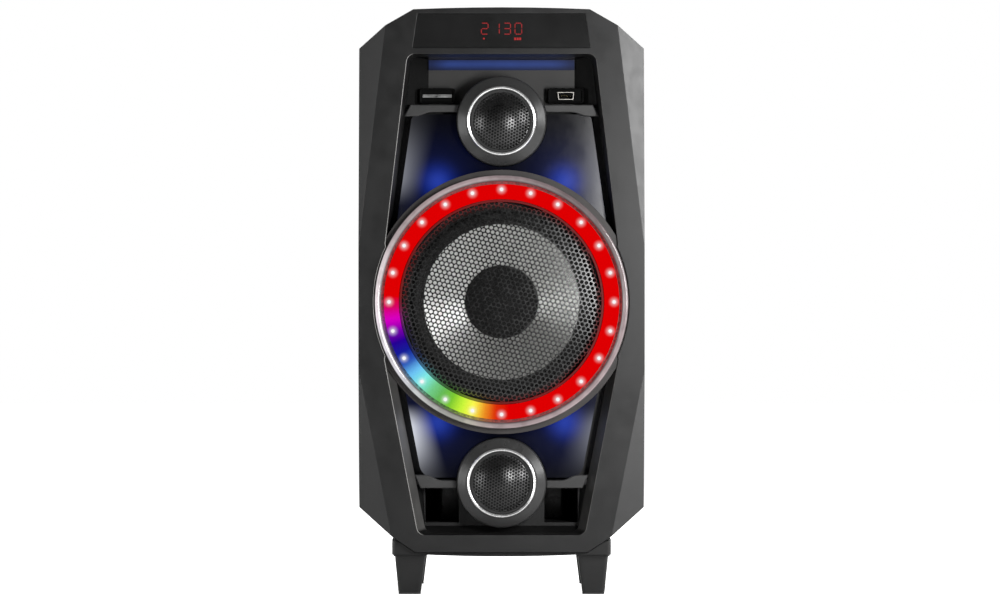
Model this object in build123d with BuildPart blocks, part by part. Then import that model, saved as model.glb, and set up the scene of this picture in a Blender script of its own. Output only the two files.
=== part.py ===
"""Party speaker: a woofer in a ring of lights, two small tweeters and an eight-sided cabinet on feet.

The speaker faces -Y, +X is to the right of someone looking at its front, and +Z is up. The origin is the
middle of its footprint, on the floor. All sizes are in millimetres.
"""
from build123d import *
from math import cos, radians, sin, sqrt
import os

os.makedirs("parts", exist_ok=True)

# ---------------------------------------------------------------- driving dimensions
HALF_WIDTH = 120.0
HEIGHT = 493.0
RIM_Y = -115.0              # front of the light rim, the foremost surface
REAR_Y = 115.0              # end of the jack nuts, the rearmost surface

# Corners of the eight-sided outline on the right-hand half, as (x, z)
TOP_CORNER = (74.0, 491.4)
SHOULDER = (97.4, 478.0)
SIDE_TOP = (HALF_WIDTH, 459.5)
SIDE_BOTTOM = (HALF_WIDTH, 73.0)
HIP = (92.4, 49.6)
BOTTOM_CORNER = (72.0, 36.0)

# Depth stations, front to back
FACE_Y = -110.0             # front face of the fascia
SKIN = 3.0                  # wall of the fascia moulding
LIP_Y = -88.0               # end of the walls round the bays
BAFFLE_Y = -74.0
CABINET_Y = -62.0
PANEL_Y = 99.0              # inner face of the rear panel
BACK_Y = 108.0              # outer face of the rear panel
BOARD = 9.0                 # cabinet board thickness
REVEAL = 1.5                # the cabinet sits this far inside the fascia outline
SEAM = 0.5

# Facets that bevel the fascia's long edges
FACET_DEPTH = 25.0
FACET_END_UPPER = 291.0
FACET_END_LOWER = 190.0

# Drivers
WOOFER_Z = 246.0
TWEETER_RISE = 152.0
UPPER_TWEETER_Z = WOOFER_Z + TWEETER_RISE
LOWER_TWEETER_Z = WOOFER_Z - TWEETER_RISE

# Light ring round the woofer, as radii
GRILLE_R = 85.9
LED_INNER_R = 86.2
LED_OUTER_R = 98.8
RIM_INNER_R = 100.8
RIM_OUTER_R = 106.4
COLLAR_R = 110.8
RING_OPENING_R = 107.5
LED_CIRCLE_R = 94.4
LED_COUNT = 24
COLLAR_FACE_Y = -106.8

# Tweeter, as radii and depths
TWEETER_R = 37.8
TWEETER_RING_R = 29.0
TWEETER_BORE_R = 26.6
TWEETER_FACE_Y = -105.0
SHOULDER_Y = -98.6

# Bay openings on the front face, as (half width, z)
UPPER_BAY_TOP = (79.0, 454.0)
UPPER_BAY_FOOT = (98.5, 288.0)
LOWER_BAY_TOP = (99.9, 205.0)
LOWER_BAY_FOOT = (70.2, 50.5)
UPPER_DRAFT = 3.0
LOWER_DRAFT = 6.5
LIP_WALL = 2.2

# Reflector panels behind the bays
REFLECTOR_Y = -90.0
REFLECTOR_SAG = 6.0
REFLECTOR_HALF = 90.0
REFLECTOR_WALL = 2.5

# Bass ports beside the lower tweeter
PORT_X = 50.3
PORT_Z = 74.3
PORT_SIZE = (28.2, 29.0)
PORT_WALL = 2.0

# Top console
DECK_Z = 473.0              # floor of the console, where the controls stand
DECK_WALL = 3.0
DECK_Y = 10.0               # middle of the console, front to back
CONTROL_BOARD_Z = 458.0
BUTTON_TRAVEL = 0.8

# Base
FOOT_X = 77.0
FOOT_Y = 82.0
PAD_HEIGHT = 2.0
COLLAR_HEIGHT = 1.6         # shallow collar at the top of each leg
PLINTH_Z = 33.7
PLINTH_SAG = 1.4            # the plinth's underside bellies down this far between the feet


# ---------------------------------------------------------------- helpers
def front(y, z=0.0):
    """A plane that faces the front at depth y: its local axes are +X and +Z."""
    return Plane(origin=(0, y, z), x_dir=(1, 0, 0), z_dir=(0, -1, 0))


def mirrored(points):
    """The points followed by their mirror images, so that a half outline closes."""
    return [*points, *((-x, z) for x, z in reversed(points))]


def body_outline(y, inset=0.0):
    """The eight-sided outline with its slightly arched top, at depth y."""
    with BuildSketch(front(y)) as outline:
        with BuildLine():
            ThreePointArc((-TOP_CORNER[0], TOP_CORNER[1]), (0, HEIGHT), TOP_CORNER)
            Polyline(*mirrored([TOP_CORNER, SHOULDER, SIDE_TOP, SIDE_BOTTOM, HIP, BOTTOM_CORNER]))
        make_face()
        if inset:
            offset(amount=-inset, kind=Kind.INTERSECTION)
    return outline.sketch


def plane_through(a, b, c):
    """The plane through three points, facing away from the middle of the body."""
    normal = (Vector(*b) - Vector(*a)).cross(Vector(*c) - Vector(*a))
    if normal.Y > 0:
        normal = -normal
    return Plane(origin=a, z_dir=normal)


def facet_planes():
    """The four long bevels: each starts at a point on the front edge and deepens to the corner."""
    for side in (-1, 1):
        edge = side * HALF_WIDTH
        yield plane_through((edge, FACE_Y, FACET_END_UPPER), (side * SHOULDER[0], FACE_Y, SHOULDER[1]),
                            (edge, FACE_Y + FACET_DEPTH, SIDE_TOP[1]))
        yield plane_through((edge, FACE_Y, FACET_END_LOWER), (side * HIP[0], FACE_Y, HIP[1]),
                            (edge, FACE_Y + FACET_DEPTH, SIDE_BOTTOM[1]))


def faceted_block(inset):
    """The fascia's outer form, or with an inset the hollow inside it."""
    back = CABINET_Y - SEAM
    with BuildPart() as block:
        extrude(body_outline(back, inset), amount=back - FACE_Y - inset)
        for plane in facet_planes():
            split(bisect_by=plane.offset(-inset), keep=Keep.BOTTOM)
    return block.part


def bay_frustum(top, foot, draft, lift, grow=0.0):
    """A bay's four-sided opening, narrowing by draft from the front face to the end of its lip.

    lift is how far the closed end of the bay moves in. grow thickens it into the block of the lip walls.
    """
    sign = 1 if top[1] > foot[1] else -1
    with BuildPart() as bay:
        for y, step in ((FACE_Y - 1, 0.0), (LIP_Y, 1.0)):
            x_in = grow - draft * step
            z_in = sign * (grow - lift * step)
            with BuildSketch(front(y)) as section:
                with BuildLine():
                    Polyline(*mirrored([(top[0] + x_in, top[1] + z_in), (foot[0] + x_in, foot[1])]),
                             close=True)
                make_face()
                closed_end = section.vertices().group_by(Axis.Z)[-1 if sign > 0 else 0]
                fillet(closed_end, radius=7.0 + grow)
        loft()
    return bay.part


def turned(centre_z, *profile):
    """A solid turned about a driver's axis from a profile of (radius, depth) points."""
    with BuildPart() as piece:
        with BuildSketch(Plane.XY.offset(centre_z)):
            with BuildLine():
                Polyline(*profile, close=True)
            make_face()
        revolve(axis=Axis((0, 0, centre_z), (0, 1, 0)))
    return piece


def cap_middle(apex_y, edge):
    """Halfway point of the arc from a cap's apex on the axis to its edge, both as (radius, depth)."""
    rise = edge[1] - apex_y
    sphere = (edge[0] ** 2 + rise ** 2) / (2 * rise)
    half = edge[0] / 2
    return (half, apex_y + sphere - sqrt(sphere ** 2 - half ** 2))


def drum(centre_z, radius, y_front, y_back):
    """A plain disc or cylinder on a driver's axis, used to cut clearances."""
    with BuildPart() as disc:
        with BuildSketch(front(y_back, centre_z)):
            Circle(radius)
        extrude(amount=y_back - y_front)
    return disc.part


def save(piece, name):
    """Label a finished piece and write its STEP file."""
    piece.part.label = name
    export_step(piece.part, f"parts/{name}.step")


# ---------------------------------------------------------------- fascia
DISPLAY_Z = 473.5
WINDOW_HEIGHT = 29.0
WINDOW_HALF = (70.4, 74.6)      # half widths at the top and at the bottom
WINDOW_DEPTH = 1.5
MODULE_SIZE = (46.0, 18.0)

BAY_LIFT = 1.5

bays = [(UPPER_BAY_TOP, UPPER_BAY_FOOT, UPPER_DRAFT, BAY_LIFT),
        (LOWER_BAY_FOOT, LOWER_BAY_TOP, LOWER_DRAFT, BAY_LIFT)]
bay_openings = [bay_frustum(*bay) for bay in bays]
lip_blocks = [bay_frustum(*bay, LIP_WALL) for bay in bays]
fascia_form = faceted_block(0)
fascia_hollow = faceted_block(SKIN)
lip_limit = faceted_block(SKIN - 0.5)


def window_sketch(y, margin=0.0):
    """The display window's slightly flared outline."""
    top, bottom = (half - margin for half in WINDOW_HALF)
    rise = WINDOW_HEIGHT / 2 - margin
    with BuildSketch(front(y, DISPLAY_Z)) as window:
        with BuildLine():
            Polyline(*mirrored([(top, rise), (bottom, -rise)]), close=True)
        make_face()
    return window.sketch


with BuildPart() as lip_walls:
    add(lip_blocks)
    add(lip_limit, mode=Mode.INTERSECT)

with BuildPart() as front_fascia:
    add(fascia_form)
    add(fascia_hollow, mode=Mode.SUBTRACT)
    add(lip_walls.part)
    add(bay_openings, mode=Mode.SUBTRACT)
    add(drum(WOOFER_Z, RING_OPENING_R, FACE_Y - 1, FACE_Y + SKIN + 1), mode=Mode.SUBTRACT)
    add(drum(WOOFER_Z, COLLAR_R + 0.6, FACE_Y + SKIN, CABINET_Y), mode=Mode.SUBTRACT)
    extrude(window_sketch(FACE_Y), amount=-WINDOW_DEPTH, mode=Mode.SUBTRACT)
    with BuildSketch(front(FACE_Y, DISPLAY_Z)):
        Rectangle(*MODULE_SIZE)
    extrude(amount=-SKIN - 1, mode=Mode.SUBTRACT)
save(front_fascia, "front_fascia")

with BuildPart() as display_window:
    extrude(window_sketch(FACE_Y, 0.15), amount=-WINDOW_DEPTH + 0.1)
save(display_window, "display_window")

with BuildPart() as display_module:
    with BuildSketch(front(FACE_Y + WINDOW_DEPTH, DISPLAY_Z)):
        Rectangle(MODULE_SIZE[0] - 0.6, MODULE_SIZE[1] - 0.6)
    extrude(amount=-8)
    with BuildSketch(front(FACE_Y + WINDOW_DEPTH + 8, DISPLAY_Z)):
        Rectangle(MODULE_SIZE[0] + 6, MODULE_SIZE[1] + 4)
    extrude(amount=-1.6)
save(display_module, "display_module")

# ---------------------------------------------------------------- cabinet, baffle and rear panel
DECK_HOLE = (128.0, 98.0)
DECK_FLANGE = (143.0, 113.0)
DECK_SEAT_Z = 488.0
AMP_OPENING = (100.0, 120.0)
AMP_Z = 210.0
SCREW_INSET = 6.0
SCREW_R = 1.7
SCREW_LENGTH = 22.0
rear_screw_points = [(side * x, z) for side in (-1, 1)
                     for x, z in ((40, HEIGHT - SCREW_INSET - REVEAL), (HALF_WIDTH - SCREW_INSET - REVEAL, 440),
                                  (HALF_WIDTH - SCREW_INSET - REVEAL, 266),
                                  (HALF_WIDTH - SCREW_INSET - REVEAL, 92),
                                  (40, BOTTOM_CORNER[1] + SCREW_INSET + REVEAL))]

with BuildPart() as cabinet_shell:
    extrude(body_outline(PANEL_Y, REVEAL), amount=PANEL_Y - CABINET_Y)
    extrude(body_outline(PANEL_Y, REVEAL + BOARD), amount=PANEL_Y - CABINET_Y, mode=Mode.SUBTRACT)
    with BuildSketch(Plane.XY.offset(DECK_SEAT_Z)):
        with Locations((0, DECK_Y)):
            RectangleRounded(*DECK_FLANGE, radius=8)
    extrude(amount=HEIGHT, mode=Mode.SUBTRACT)
    with BuildSketch(Plane.XY.offset(DECK_Z)):
        with Locations((0, DECK_Y)):
            RectangleRounded(*DECK_HOLE, radius=6)
    extrude(amount=HEIGHT, mode=Mode.SUBTRACT)
    with BuildSketch(front(PANEL_Y)):
        with Locations(*rear_screw_points):
            Circle(SCREW_R + 0.05)
    extrude(amount=SCREW_LENGTH, mode=Mode.SUBTRACT)
save(cabinet_shell, "cabinet_shell")

with BuildPart() as front_baffle:
    extrude(body_outline(CABINET_Y, SKIN + 1), amount=CABINET_Y - BAFFLE_Y)
    add(drum(WOOFER_Z, 78, BAFFLE_Y - 1, CABINET_Y + 1), mode=Mode.SUBTRACT)
    with BuildSketch(front(CABINET_Y + 1, PORT_Z)):
        with Locations((-PORT_X, 0), (PORT_X, 0)):
            Rectangle(PORT_SIZE[0] + 2 * PORT_WALL + 0.4, PORT_SIZE[1] + 2 * PORT_WALL + 0.4)
    extrude(amount=20, mode=Mode.SUBTRACT)
save(front_baffle, "front_baffle")

with BuildPart() as rear_panel:
    extrude(body_outline(BACK_Y, REVEAL), amount=BACK_Y - PANEL_Y)
    with BuildSketch(front(BACK_Y, AMP_Z)):
        RectangleRounded(*AMP_OPENING, radius=5)
    extrude(amount=BOARD, mode=Mode.SUBTRACT)
    with BuildSketch(front(BACK_Y)):
        with Locations(*rear_screw_points):
            Circle(SCREW_R + 0.3)
    extrude(amount=BOARD, mode=Mode.SUBTRACT)
save(rear_panel, "rear_panel")

with BuildPart() as cabinet_screws:
    with BuildSketch(front(BACK_Y + 0.1)):
        with Locations(*rear_screw_points):
            Circle(SCREW_R)
    extrude(amount=SCREW_LENGTH)
    with BuildSketch(front(BACK_Y + 2.0)):
        with Locations(*rear_screw_points):
            Circle(4.0)
            Rectangle(3.6, 0.9, mode=Mode.SUBTRACT)
            Rectangle(0.9, 3.6, mode=Mode.SUBTRACT)
    extrude(amount=1.2)
    with BuildSketch(front(BACK_Y + 0.8)):
        with Locations(*rear_screw_points):
            Circle(4.0)
    extrude(amount=0.75)
save(cabinet_screws, "cabinet_screws")

# ---------------------------------------------------------------- base
PLINTH_HALF = 92.0
PLINTH_HALF_DEPTH = 104.0
SAG_HALF = 62.0                 # half width of the bellied stretch of the underside
CRADLE = (86.0, 44.7)           # where the plinth meets the sloping corner of the cabinet
CRADLE_RISE = 1.5
CRADLE_GAP = 0.5

with BuildPart() as base_plinth:
    with BuildSketch(front(PLINTH_HALF_DEPTH)):
        with BuildLine():
            Polyline(*mirrored([(SAG_HALF, PLINTH_Z), (PLINTH_HALF, PLINTH_Z),
                                (PLINTH_HALF, CRADLE[1] + CRADLE_RISE), CRADLE,
                                (BOTTOM_CORNER[0], BOTTOM_CORNER[1] - CRADLE_GAP)]))
            ThreePointArc((SAG_HALF, PLINTH_Z), (0, PLINTH_Z - PLINTH_SAG), (-SAG_HALF, PLINTH_Z))
        make_face()
    extrude(amount=2 * PLINTH_HALF_DEPTH)
    fillet(base_plinth.edges().filter_by(Axis.Z).group_by(Axis.Y)[0], radius=3)
    fillet(base_plinth.edges().filter_by(Axis.Z).group_by(Axis.Y)[-1], radius=3)
save(base_plinth, "base_plinth")

LEG_SPLAY = 0.4
leg_tops = [(sx * FOOT_X, sy * FOOT_Y) for sx in (-1, 1) for sy in (-1, 1)]
leg_ends = [(sx * (FOOT_X + LEG_SPLAY), sy * FOOT_Y) for sx in (-1, 1) for sy in (-1, 1)]


def leg(top, end):
    """A tapered leg with a shallow collar where it meets the plinth."""
    with BuildPart() as tapered:
        with BuildSketch(Plane.XY.offset(PAD_HEIGHT)):
            with Locations(end):
                RectangleRounded(19, 20, radius=3)
        with BuildSketch(Plane.XY.offset(PLINTH_Z - COLLAR_HEIGHT)):
            with Locations(top):
                RectangleRounded(25.6, 26, radius=3)
        loft()
        with BuildSketch(Plane.XY.offset(PLINTH_Z - COLLAR_HEIGHT)):
            with Locations(top):
                RectangleRounded(28, 28, radius=3)
        extrude(amount=COLLAR_HEIGHT)
    return tapered.part


legs = [leg(top, end) for top, end in zip(leg_tops, leg_ends)]
with BuildPart() as feet:
    add(legs)
save(feet, "feet")

with BuildPart() as foot_pads:
    with BuildSketch(Plane.XY):
        with Locations(*leg_ends):
            RectangleRounded(18.6, 19.6, radius=3)
    extrude(amount=PAD_HEIGHT)
save(foot_pads, "foot_pads")

# ---------------------------------------------------------------- upper and lower bay
LINER_FRONT = LIP_Y + 0.4
LINER_BACK = BAFFLE_Y - 0.4
STRIP_Z = 445.9
STRIP_SIZE = (123.0, 8.6)
SOCKET_Z = 419.6
SOCKET_HEIGHT = 12.8
SOCKET_WIDTH = 30.0
SD_X = -54.2
USB_X = 54.2
SOCKET_FRONT = LIP_Y + 2.0


def pocket(y_front, y_back, mouth, floor):
    """A pocket that narrows from its mouth to its floor, each given as an upper and a lower (half width, z)."""
    with BuildPart() as hollow:
        for y, corners in ((y_front, mouth), (y_back, floor)):
            with BuildSketch(front(y)):
                with BuildLine():
                    Polyline(*mirrored(corners), close=True)
                make_face()
        loft()
    return hollow.part


with BuildPart() as upper_bay_liner:
    with BuildSketch(front(LINER_BACK, 434)):
        Rectangle(168, 50)
    extrude(amount=LINER_BACK - LINER_FRONT)
    add(pocket(LINER_FRONT - 0.1, LINER_BACK - 2, [(76.0, 453), (80.5, 412)], [(61.7, 450.4), (61.7, 412)]),
        mode=Mode.SUBTRACT)
    with BuildSketch(front(LINER_BACK - 1, SOCKET_Z)):
        with Locations((SD_X, 0), (USB_X, 0)):
            Rectangle(SOCKET_WIDTH + 0.4, SOCKET_HEIGHT + 0.4)
    extrude(amount=20, mode=Mode.SUBTRACT)
    add(drum(UPPER_TWEETER_Z, TWEETER_R + 0.5, LINER_FRONT - 1, LINER_BACK + 1), mode=Mode.SUBTRACT)
save(upper_bay_liner, "upper_bay_liner")

with BuildPart() as light_strip_diffuser:
    with BuildSketch(front(LINER_BACK - 2.1, STRIP_Z)):
        Rectangle(*STRIP_SIZE)
    extrude(amount=1.4)
save(light_strip_diffuser, "light_strip_diffuser")

with BuildPart() as lower_bay_liner:
    with BuildSketch(front(LINER_BACK, 71)):
        Rectangle(154, 50)
    extrude(amount=LINER_BACK - LINER_FRONT)
    add(pocket(LINER_FRONT - 0.1, LINER_BACK - 2, [(71.5, 92), (64.0, 51.8)], [(66.0, 90), (64.6, 57)]),
        mode=Mode.SUBTRACT)
    with BuildSketch(front(LINER_BACK + 1, PORT_Z)):
        with Locations((-PORT_X, 0), (PORT_X, 0)):
            Rectangle(*PORT_SIZE)
    extrude(amount=20, mode=Mode.SUBTRACT)
    add(drum(LOWER_TWEETER_Z, TWEETER_R + 0.5, LINER_FRONT - 1, LINER_BACK + 1), mode=Mode.SUBTRACT)
save(lower_bay_liner, "lower_bay_liner")

with BuildPart() as port_ducts:
    with BuildSketch(front(BAFFLE_Y, PORT_Z)):
        with Locations((-PORT_X, 0), (PORT_X, 0)):
            Rectangle(PORT_SIZE[0] + 2 * PORT_WALL, PORT_SIZE[1] + 2 * PORT_WALL)
            Rectangle(*PORT_SIZE, mode=Mode.SUBTRACT)
    extrude(amount=-75)
save(port_ducts, "port_ducts")

with BuildPart() as sd_card_slot:
    with BuildSketch(front(LINER_BACK - 1.1, SOCKET_Z)):
        with Locations((SD_X, 0)):
            RectangleRounded(SOCKET_WIDTH, SOCKET_HEIGHT, radius=2)
    extrude(amount=LINER_BACK - 1.1 - SOCKET_FRONT)
    with BuildSketch(front(SOCKET_FRONT, SOCKET_Z)):
        with Locations((SD_X, 0)):
            RectangleRounded(SOCKET_WIDTH - 2.4, SOCKET_HEIGHT - 2.4, radius=1.4)
    extrude(amount=-2.5, mode=Mode.SUBTRACT)
    with BuildSketch(front(SOCKET_FRONT, SOCKET_Z)):
        with Locations((SD_X, 0)):
            Rectangle(24.6, 2.4)
    extrude(amount=-9, mode=Mode.SUBTRACT)
save(sd_card_slot, "sd_card_slot")

with BuildPart() as usb_port:
    with BuildSketch(front(LINER_BACK - 1.1, SOCKET_Z)):
        with Locations((USB_X, 0)):
            RectangleRounded(SOCKET_WIDTH, SOCKET_HEIGHT, radius=2)
    extrude(amount=LINER_BACK - 1.1 - SOCKET_FRONT)
    with BuildSketch(front(SOCKET_FRONT, SOCKET_Z)):
        with Locations((USB_X, 0)):
            RectangleRounded(SOCKET_WIDTH - 2.4, SOCKET_HEIGHT - 2.4, radius=1.4)
            Rectangle(13.7, 6.4, mode=Mode.SUBTRACT)
    extrude(amount=-2.5, mode=Mode.SUBTRACT)
    with BuildSketch(front(SOCKET_FRONT, SOCKET_Z)):
        with Locations((USB_X, 0)):
            Rectangle(12.5, 5.2)
        with Locations((USB_X, 1.0)):
            Rectangle(11.4, 1.9, mode=Mode.SUBTRACT)
    extrude(amount=-9, mode=Mode.SUBTRACT)
save(usb_port, "usb_port")


# ---------------------------------------------------------------- trim bars and reflectors
TRIM_FRONT = -92.0
TRIM_BACK = -88.3


def trim_bars(centre_z, flat, thin, tip_in, tip_out):
    """The two bars beside a tweeter, each widening in an ogee at its outer end.

    flat and thin are the heights of the straight edge and of the edge that flares, and tip_in and tip_out
    the (x, z) ends of the straight edge and of the flare.
    """
    start = (tip_in[0] - 20, thin)
    end = (tip_out[0] - 7, tip_out[1])
    middle = (start[0] + end[0]) / 2
    with BuildPart() as bar:
        with BuildSketch(front(TRIM_BACK)):
            with BuildLine():
                Line((0, flat), tip_in)
                Line(tip_in, tip_out)
                Line(tip_out, end)
                Bezier(end, (middle, end[1]), (middle, thin), start)
                Line(start, (0, thin))
                mirror(about=Plane.YZ)
            make_face()
        extrude(amount=TRIM_BACK - TRIM_FRONT)
        chamfer(bar.faces().sort_by(Axis.Y)[0].edges(), length=0.6)
        add(drum(centre_z, TWEETER_R + 0.5, TRIM_FRONT - 1, TRIM_BACK + 1), mode=Mode.SUBTRACT)
    return bar


upper_trim_bars = trim_bars(UPPER_TWEETER_Z, 412.0, 405.8, (76.8, 412.0), (82.0, 402.2))
save(upper_trim_bars, "upper_trim_bars")

lower_trim_bars = trim_bars(LOWER_TWEETER_Z, 89.2, 95.8, (68.3, 89.2), (73.2, 100.4))
save(lower_trim_bars, "lower_trim_bars")


def reflector(tweeter_z, wide, narrow, corner_r):
    """A glossy panel, bowed about a vertical axis, that fills a bay between the ring and a trim bar.

    wide and narrow are the (half width, z) of its edge beside the ring and of its far edge.
    """
    height = abs(wide[1] - narrow[1]) + 20
    base = min(wide[1], narrow[1]) - 10
    with BuildPart() as panel:
        with BuildSketch(Plane.XY.offset(base)):
            with BuildLine():
                for step in (0.0, REFLECTOR_WALL):
                    ThreePointArc((-REFLECTOR_HALF, REFLECTOR_Y + REFLECTOR_SAG + step),
                                  (0, REFLECTOR_Y + step),
                                  (REFLECTOR_HALF, REFLECTOR_Y + REFLECTOR_SAG + step))
                for side in (-REFLECTOR_HALF, REFLECTOR_HALF):
                    Line((side, REFLECTOR_Y + REFLECTOR_SAG),
                         (side, REFLECTOR_Y + REFLECTOR_SAG + REFLECTOR_WALL))
            make_face()
        extrude(amount=height)
        with BuildSketch(front(BAFFLE_Y - 0.2)) as outline:
            with BuildLine():
                Polyline(*mirrored([wide, narrow]), close=True)
            make_face()
            far = outline.vertices().group_by(Axis.Z)[0 if narrow[1] < wide[1] else -1]
            fillet(far, radius=corner_r)
        extrude(amount=20, mode=Mode.INTERSECT)
        add(drum(WOOFER_Z, COLLAR_R + 0.6, REFLECTOR_Y - 5, CABINET_Y), mode=Mode.SUBTRACT)
        add(drum(tweeter_z, TWEETER_R + 0.5, REFLECTOR_Y - 5, CABINET_Y), mode=Mode.SUBTRACT)
    return panel


upper_reflector = reflector(UPPER_TWEETER_Z, (88.8, 310.0), (75.4, 404.0), 6.0)
save(upper_reflector, "upper_reflector")

lower_reflector = reflector(LOWER_TWEETER_Z, (84.4, 187.0), (67.2, 98.0), 12.0)
save(lower_reflector, "lower_reflector")

ACCENT_R = 118.0
ACCENT_ANGLE = 27.0
with BuildPart() as accent_led_boards:
    spots = [(sx * ACCENT_R * sin(radians(ACCENT_ANGLE)), sz * ACCENT_R * cos(radians(ACCENT_ANGLE)))
             for sx in (-1, 1) for sz in (-1, 1)]
    with BuildSketch(front(BAFFLE_Y - 3.2, WOOFER_Z)):
        with Locations(*spots):
            Rectangle(12, 8)
    extrude(amount=1.6)
    with BuildSketch(front(BAFFLE_Y - 4.8, WOOFER_Z)):
        with Locations(*spots):
            Rectangle(5, 5)
    extrude(amount=1.5)
save(accent_led_boards, "accent_led_boards")

# ---------------------------------------------------------------- tweeters
DOME_R = 12.7
COIL_GAP_R = 13.6
POLE_R = 12.0


def tweeter_housing(z):
    """Round pod that stands on the baffle, with a shallow cone from its shoulder to its front bezel."""
    wall = 2.6
    return turned(z, (TWEETER_R, BAFFLE_Y), (TWEETER_R, SHOULDER_Y), (TWEETER_R - 0.9, SHOULDER_Y - 1.4),
                  (TWEETER_RING_R + 1.2, TWEETER_FACE_Y + 0.8), (TWEETER_RING_R + 0.3, TWEETER_FACE_Y),
                  (TWEETER_BORE_R, TWEETER_FACE_Y), (TWEETER_BORE_R, -98), (TWEETER_R - wall, SHOULDER_Y + 4),
                  (TWEETER_R - wall, BAFFLE_Y))


def tweeter_ring(z):
    """Bright ring on the bezel's front edge."""
    seat, inner = TWEETER_FACE_Y - 0.05, TWEETER_BORE_R + 0.1
    crest = (inner + TWEETER_RING_R) / 2
    return turned(z, (inner, seat), (inner, seat - 0.7), (inner + 0.4, seat - 1.3), (crest, seat - 1.7),
                  (TWEETER_RING_R - 0.4, seat - 1.3), (TWEETER_RING_R, seat - 0.7), (TWEETER_RING_R, seat))


def tweeter_grille(z):
    """Thin mesh cover: a narrow flat rim round a dome."""
    rim_y = TWEETER_FACE_Y + 1.5
    dome_r, rise, thickness = 23.0, 8.0, 0.6
    with BuildPart() as mesh:
        with BuildSketch(Plane.XY.offset(z)):
            with BuildLine():
                Line((0, rim_y - rise), (0, rim_y - rise + thickness))
                ThreePointArc((0, rim_y - rise + thickness),
                              cap_middle(rim_y - rise + thickness, (dome_r, rim_y + thickness)),
                              (dome_r, rim_y + thickness))
                Line((dome_r, rim_y + thickness), (TWEETER_BORE_R - 0.1, rim_y + thickness))
                Line((TWEETER_BORE_R - 0.1, rim_y + thickness), (TWEETER_BORE_R - 0.1, rim_y))
                Line((TWEETER_BORE_R - 0.1, rim_y), (dome_r, rim_y))
                ThreePointArc((dome_r, rim_y), cap_middle(rim_y - rise, (dome_r, rim_y)), (0, rim_y - rise))
            make_face()
        revolve(axis=Axis((0, 0, z), (0, 1, 0)))
    return mesh


def tweeter_dome(z):
    """Diaphragm and its voice coil former, which move together."""
    edge_y, skin = -93.0, 0.6
    apex_y = edge_y - 5.0
    with BuildPart() as dome:
        with BuildSketch(Plane.XY.offset(z)):
            with BuildLine():
                ThreePointArc((0, apex_y), cap_middle(apex_y, (DOME_R, edge_y)), (DOME_R, edge_y))
                Polyline((DOME_R, edge_y), (DOME_R + 0.6, edge_y), (DOME_R + 0.6, edge_y + 6),
                         (DOME_R, edge_y + 6), (DOME_R, edge_y + skin))
                ThreePointArc((DOME_R, edge_y + skin), cap_middle(apex_y + skin, (DOME_R, edge_y + skin)),
                              (0, apex_y + skin))
                Line((0, apex_y + skin), (0, apex_y))
            make_face()
        revolve(axis=Axis((0, 0, z), (0, 1, 0)))
    return dome


def tweeter_motor(z):
    """Face plate, magnet and pole in one bonded unit, with the coil gap open to the front."""
    return turned(z, (0, -77), (0, -90.5), (POLE_R, -90.5), (POLE_R, -80), (COIL_GAP_R + 0.6, -80),
                  (COIL_GAP_R + 0.6, -91), (26.5, -91), (26.5, -88.5), (21, -88.5), (21, -77))


for name, z in (("upper", UPPER_TWEETER_Z), ("lower", LOWER_TWEETER_Z)):
    save(tweeter_housing(z), f"{name}_tweeter_housing")
    save(tweeter_ring(z), f"{name}_tweeter_ring")
    save(tweeter_grille(z), f"{name}_tweeter_grille")
    save(tweeter_dome(z), f"{name}_tweeter_dome")
    save(tweeter_motor(z), f"{name}_tweeter_motor")

# ---------------------------------------------------------------- light ring
BOARD_FLOOR_Y = -98.0
LED_BOARD_T = 1.6

ring_collar = turned(WOOFER_Z, (84.5, BAFFLE_Y), (84.5, COLLAR_FACE_Y - 0.2), (86.1, COLLAR_FACE_Y - 0.2),
                     (86.1, BOARD_FLOOR_Y), (98.9, BOARD_FLOOR_Y), (98.9, COLLAR_FACE_Y),
                     (COLLAR_R, COLLAR_FACE_Y), (COLLAR_R, BAFFLE_Y), (COLLAR_R - 2.5, BAFFLE_Y),
                     (COLLAR_R - 2.5, BOARD_FLOOR_Y + 2.5), (87.0, BOARD_FLOOR_Y + 2.5), (87.0, BAFFLE_Y))
save(ring_collar, "ring_collar")

with BuildPart() as rim_light_guide:
    with BuildSketch(Plane.XY.offset(WOOFER_Z)):
        with BuildLine():
            Polyline((RIM_OUTER_R, COLLAR_FACE_Y), (RIM_INNER_R, COLLAR_FACE_Y), (RIM_INNER_R, RIM_Y + 3.0))
            Bezier((RIM_INNER_R, RIM_Y + 3.0), (RIM_INNER_R + 0.2, RIM_Y), (RIM_OUTER_R - 2.2, RIM_Y),
                   (RIM_OUTER_R - 1.8, RIM_Y))
            Bezier((RIM_OUTER_R - 1.8, RIM_Y), (RIM_OUTER_R, RIM_Y), (RIM_OUTER_R, RIM_Y + 2.5),
                   (RIM_OUTER_R, COLLAR_FACE_Y))
        make_face()
    revolve(axis=Axis((0, 0, WOOFER_Z), (0, 1, 0)))
save(rim_light_guide, "rim_light_guide")

ring_diffuser = turned(WOOFER_Z, (LED_INNER_R, -108.6), (LED_OUTER_R, -108.6), (LED_OUTER_R, -107.1),
                       (LED_INNER_R, -107.1))
save(ring_diffuser, "ring_diffuser")

ring_board = turned(WOOFER_Z, (86.6, BOARD_FLOOR_Y - 0.05), (98.4, BOARD_FLOOR_Y - 0.05),
                    (98.4, BOARD_FLOOR_Y - LED_BOARD_T), (86.6, BOARD_FLOOR_Y - LED_BOARD_T))
save(ring_board, "ring_board")

with BuildPart() as ring_leds:
    with BuildSketch(front(BOARD_FLOOR_Y - LED_BOARD_T - 0.02, WOOFER_Z)):
        with PolarLocations(LED_CIRCLE_R, LED_COUNT, start_angle=90):
            Rectangle(5, 5)
    extrude(amount=1.6)
save(ring_leds, "ring_leds")

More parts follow.
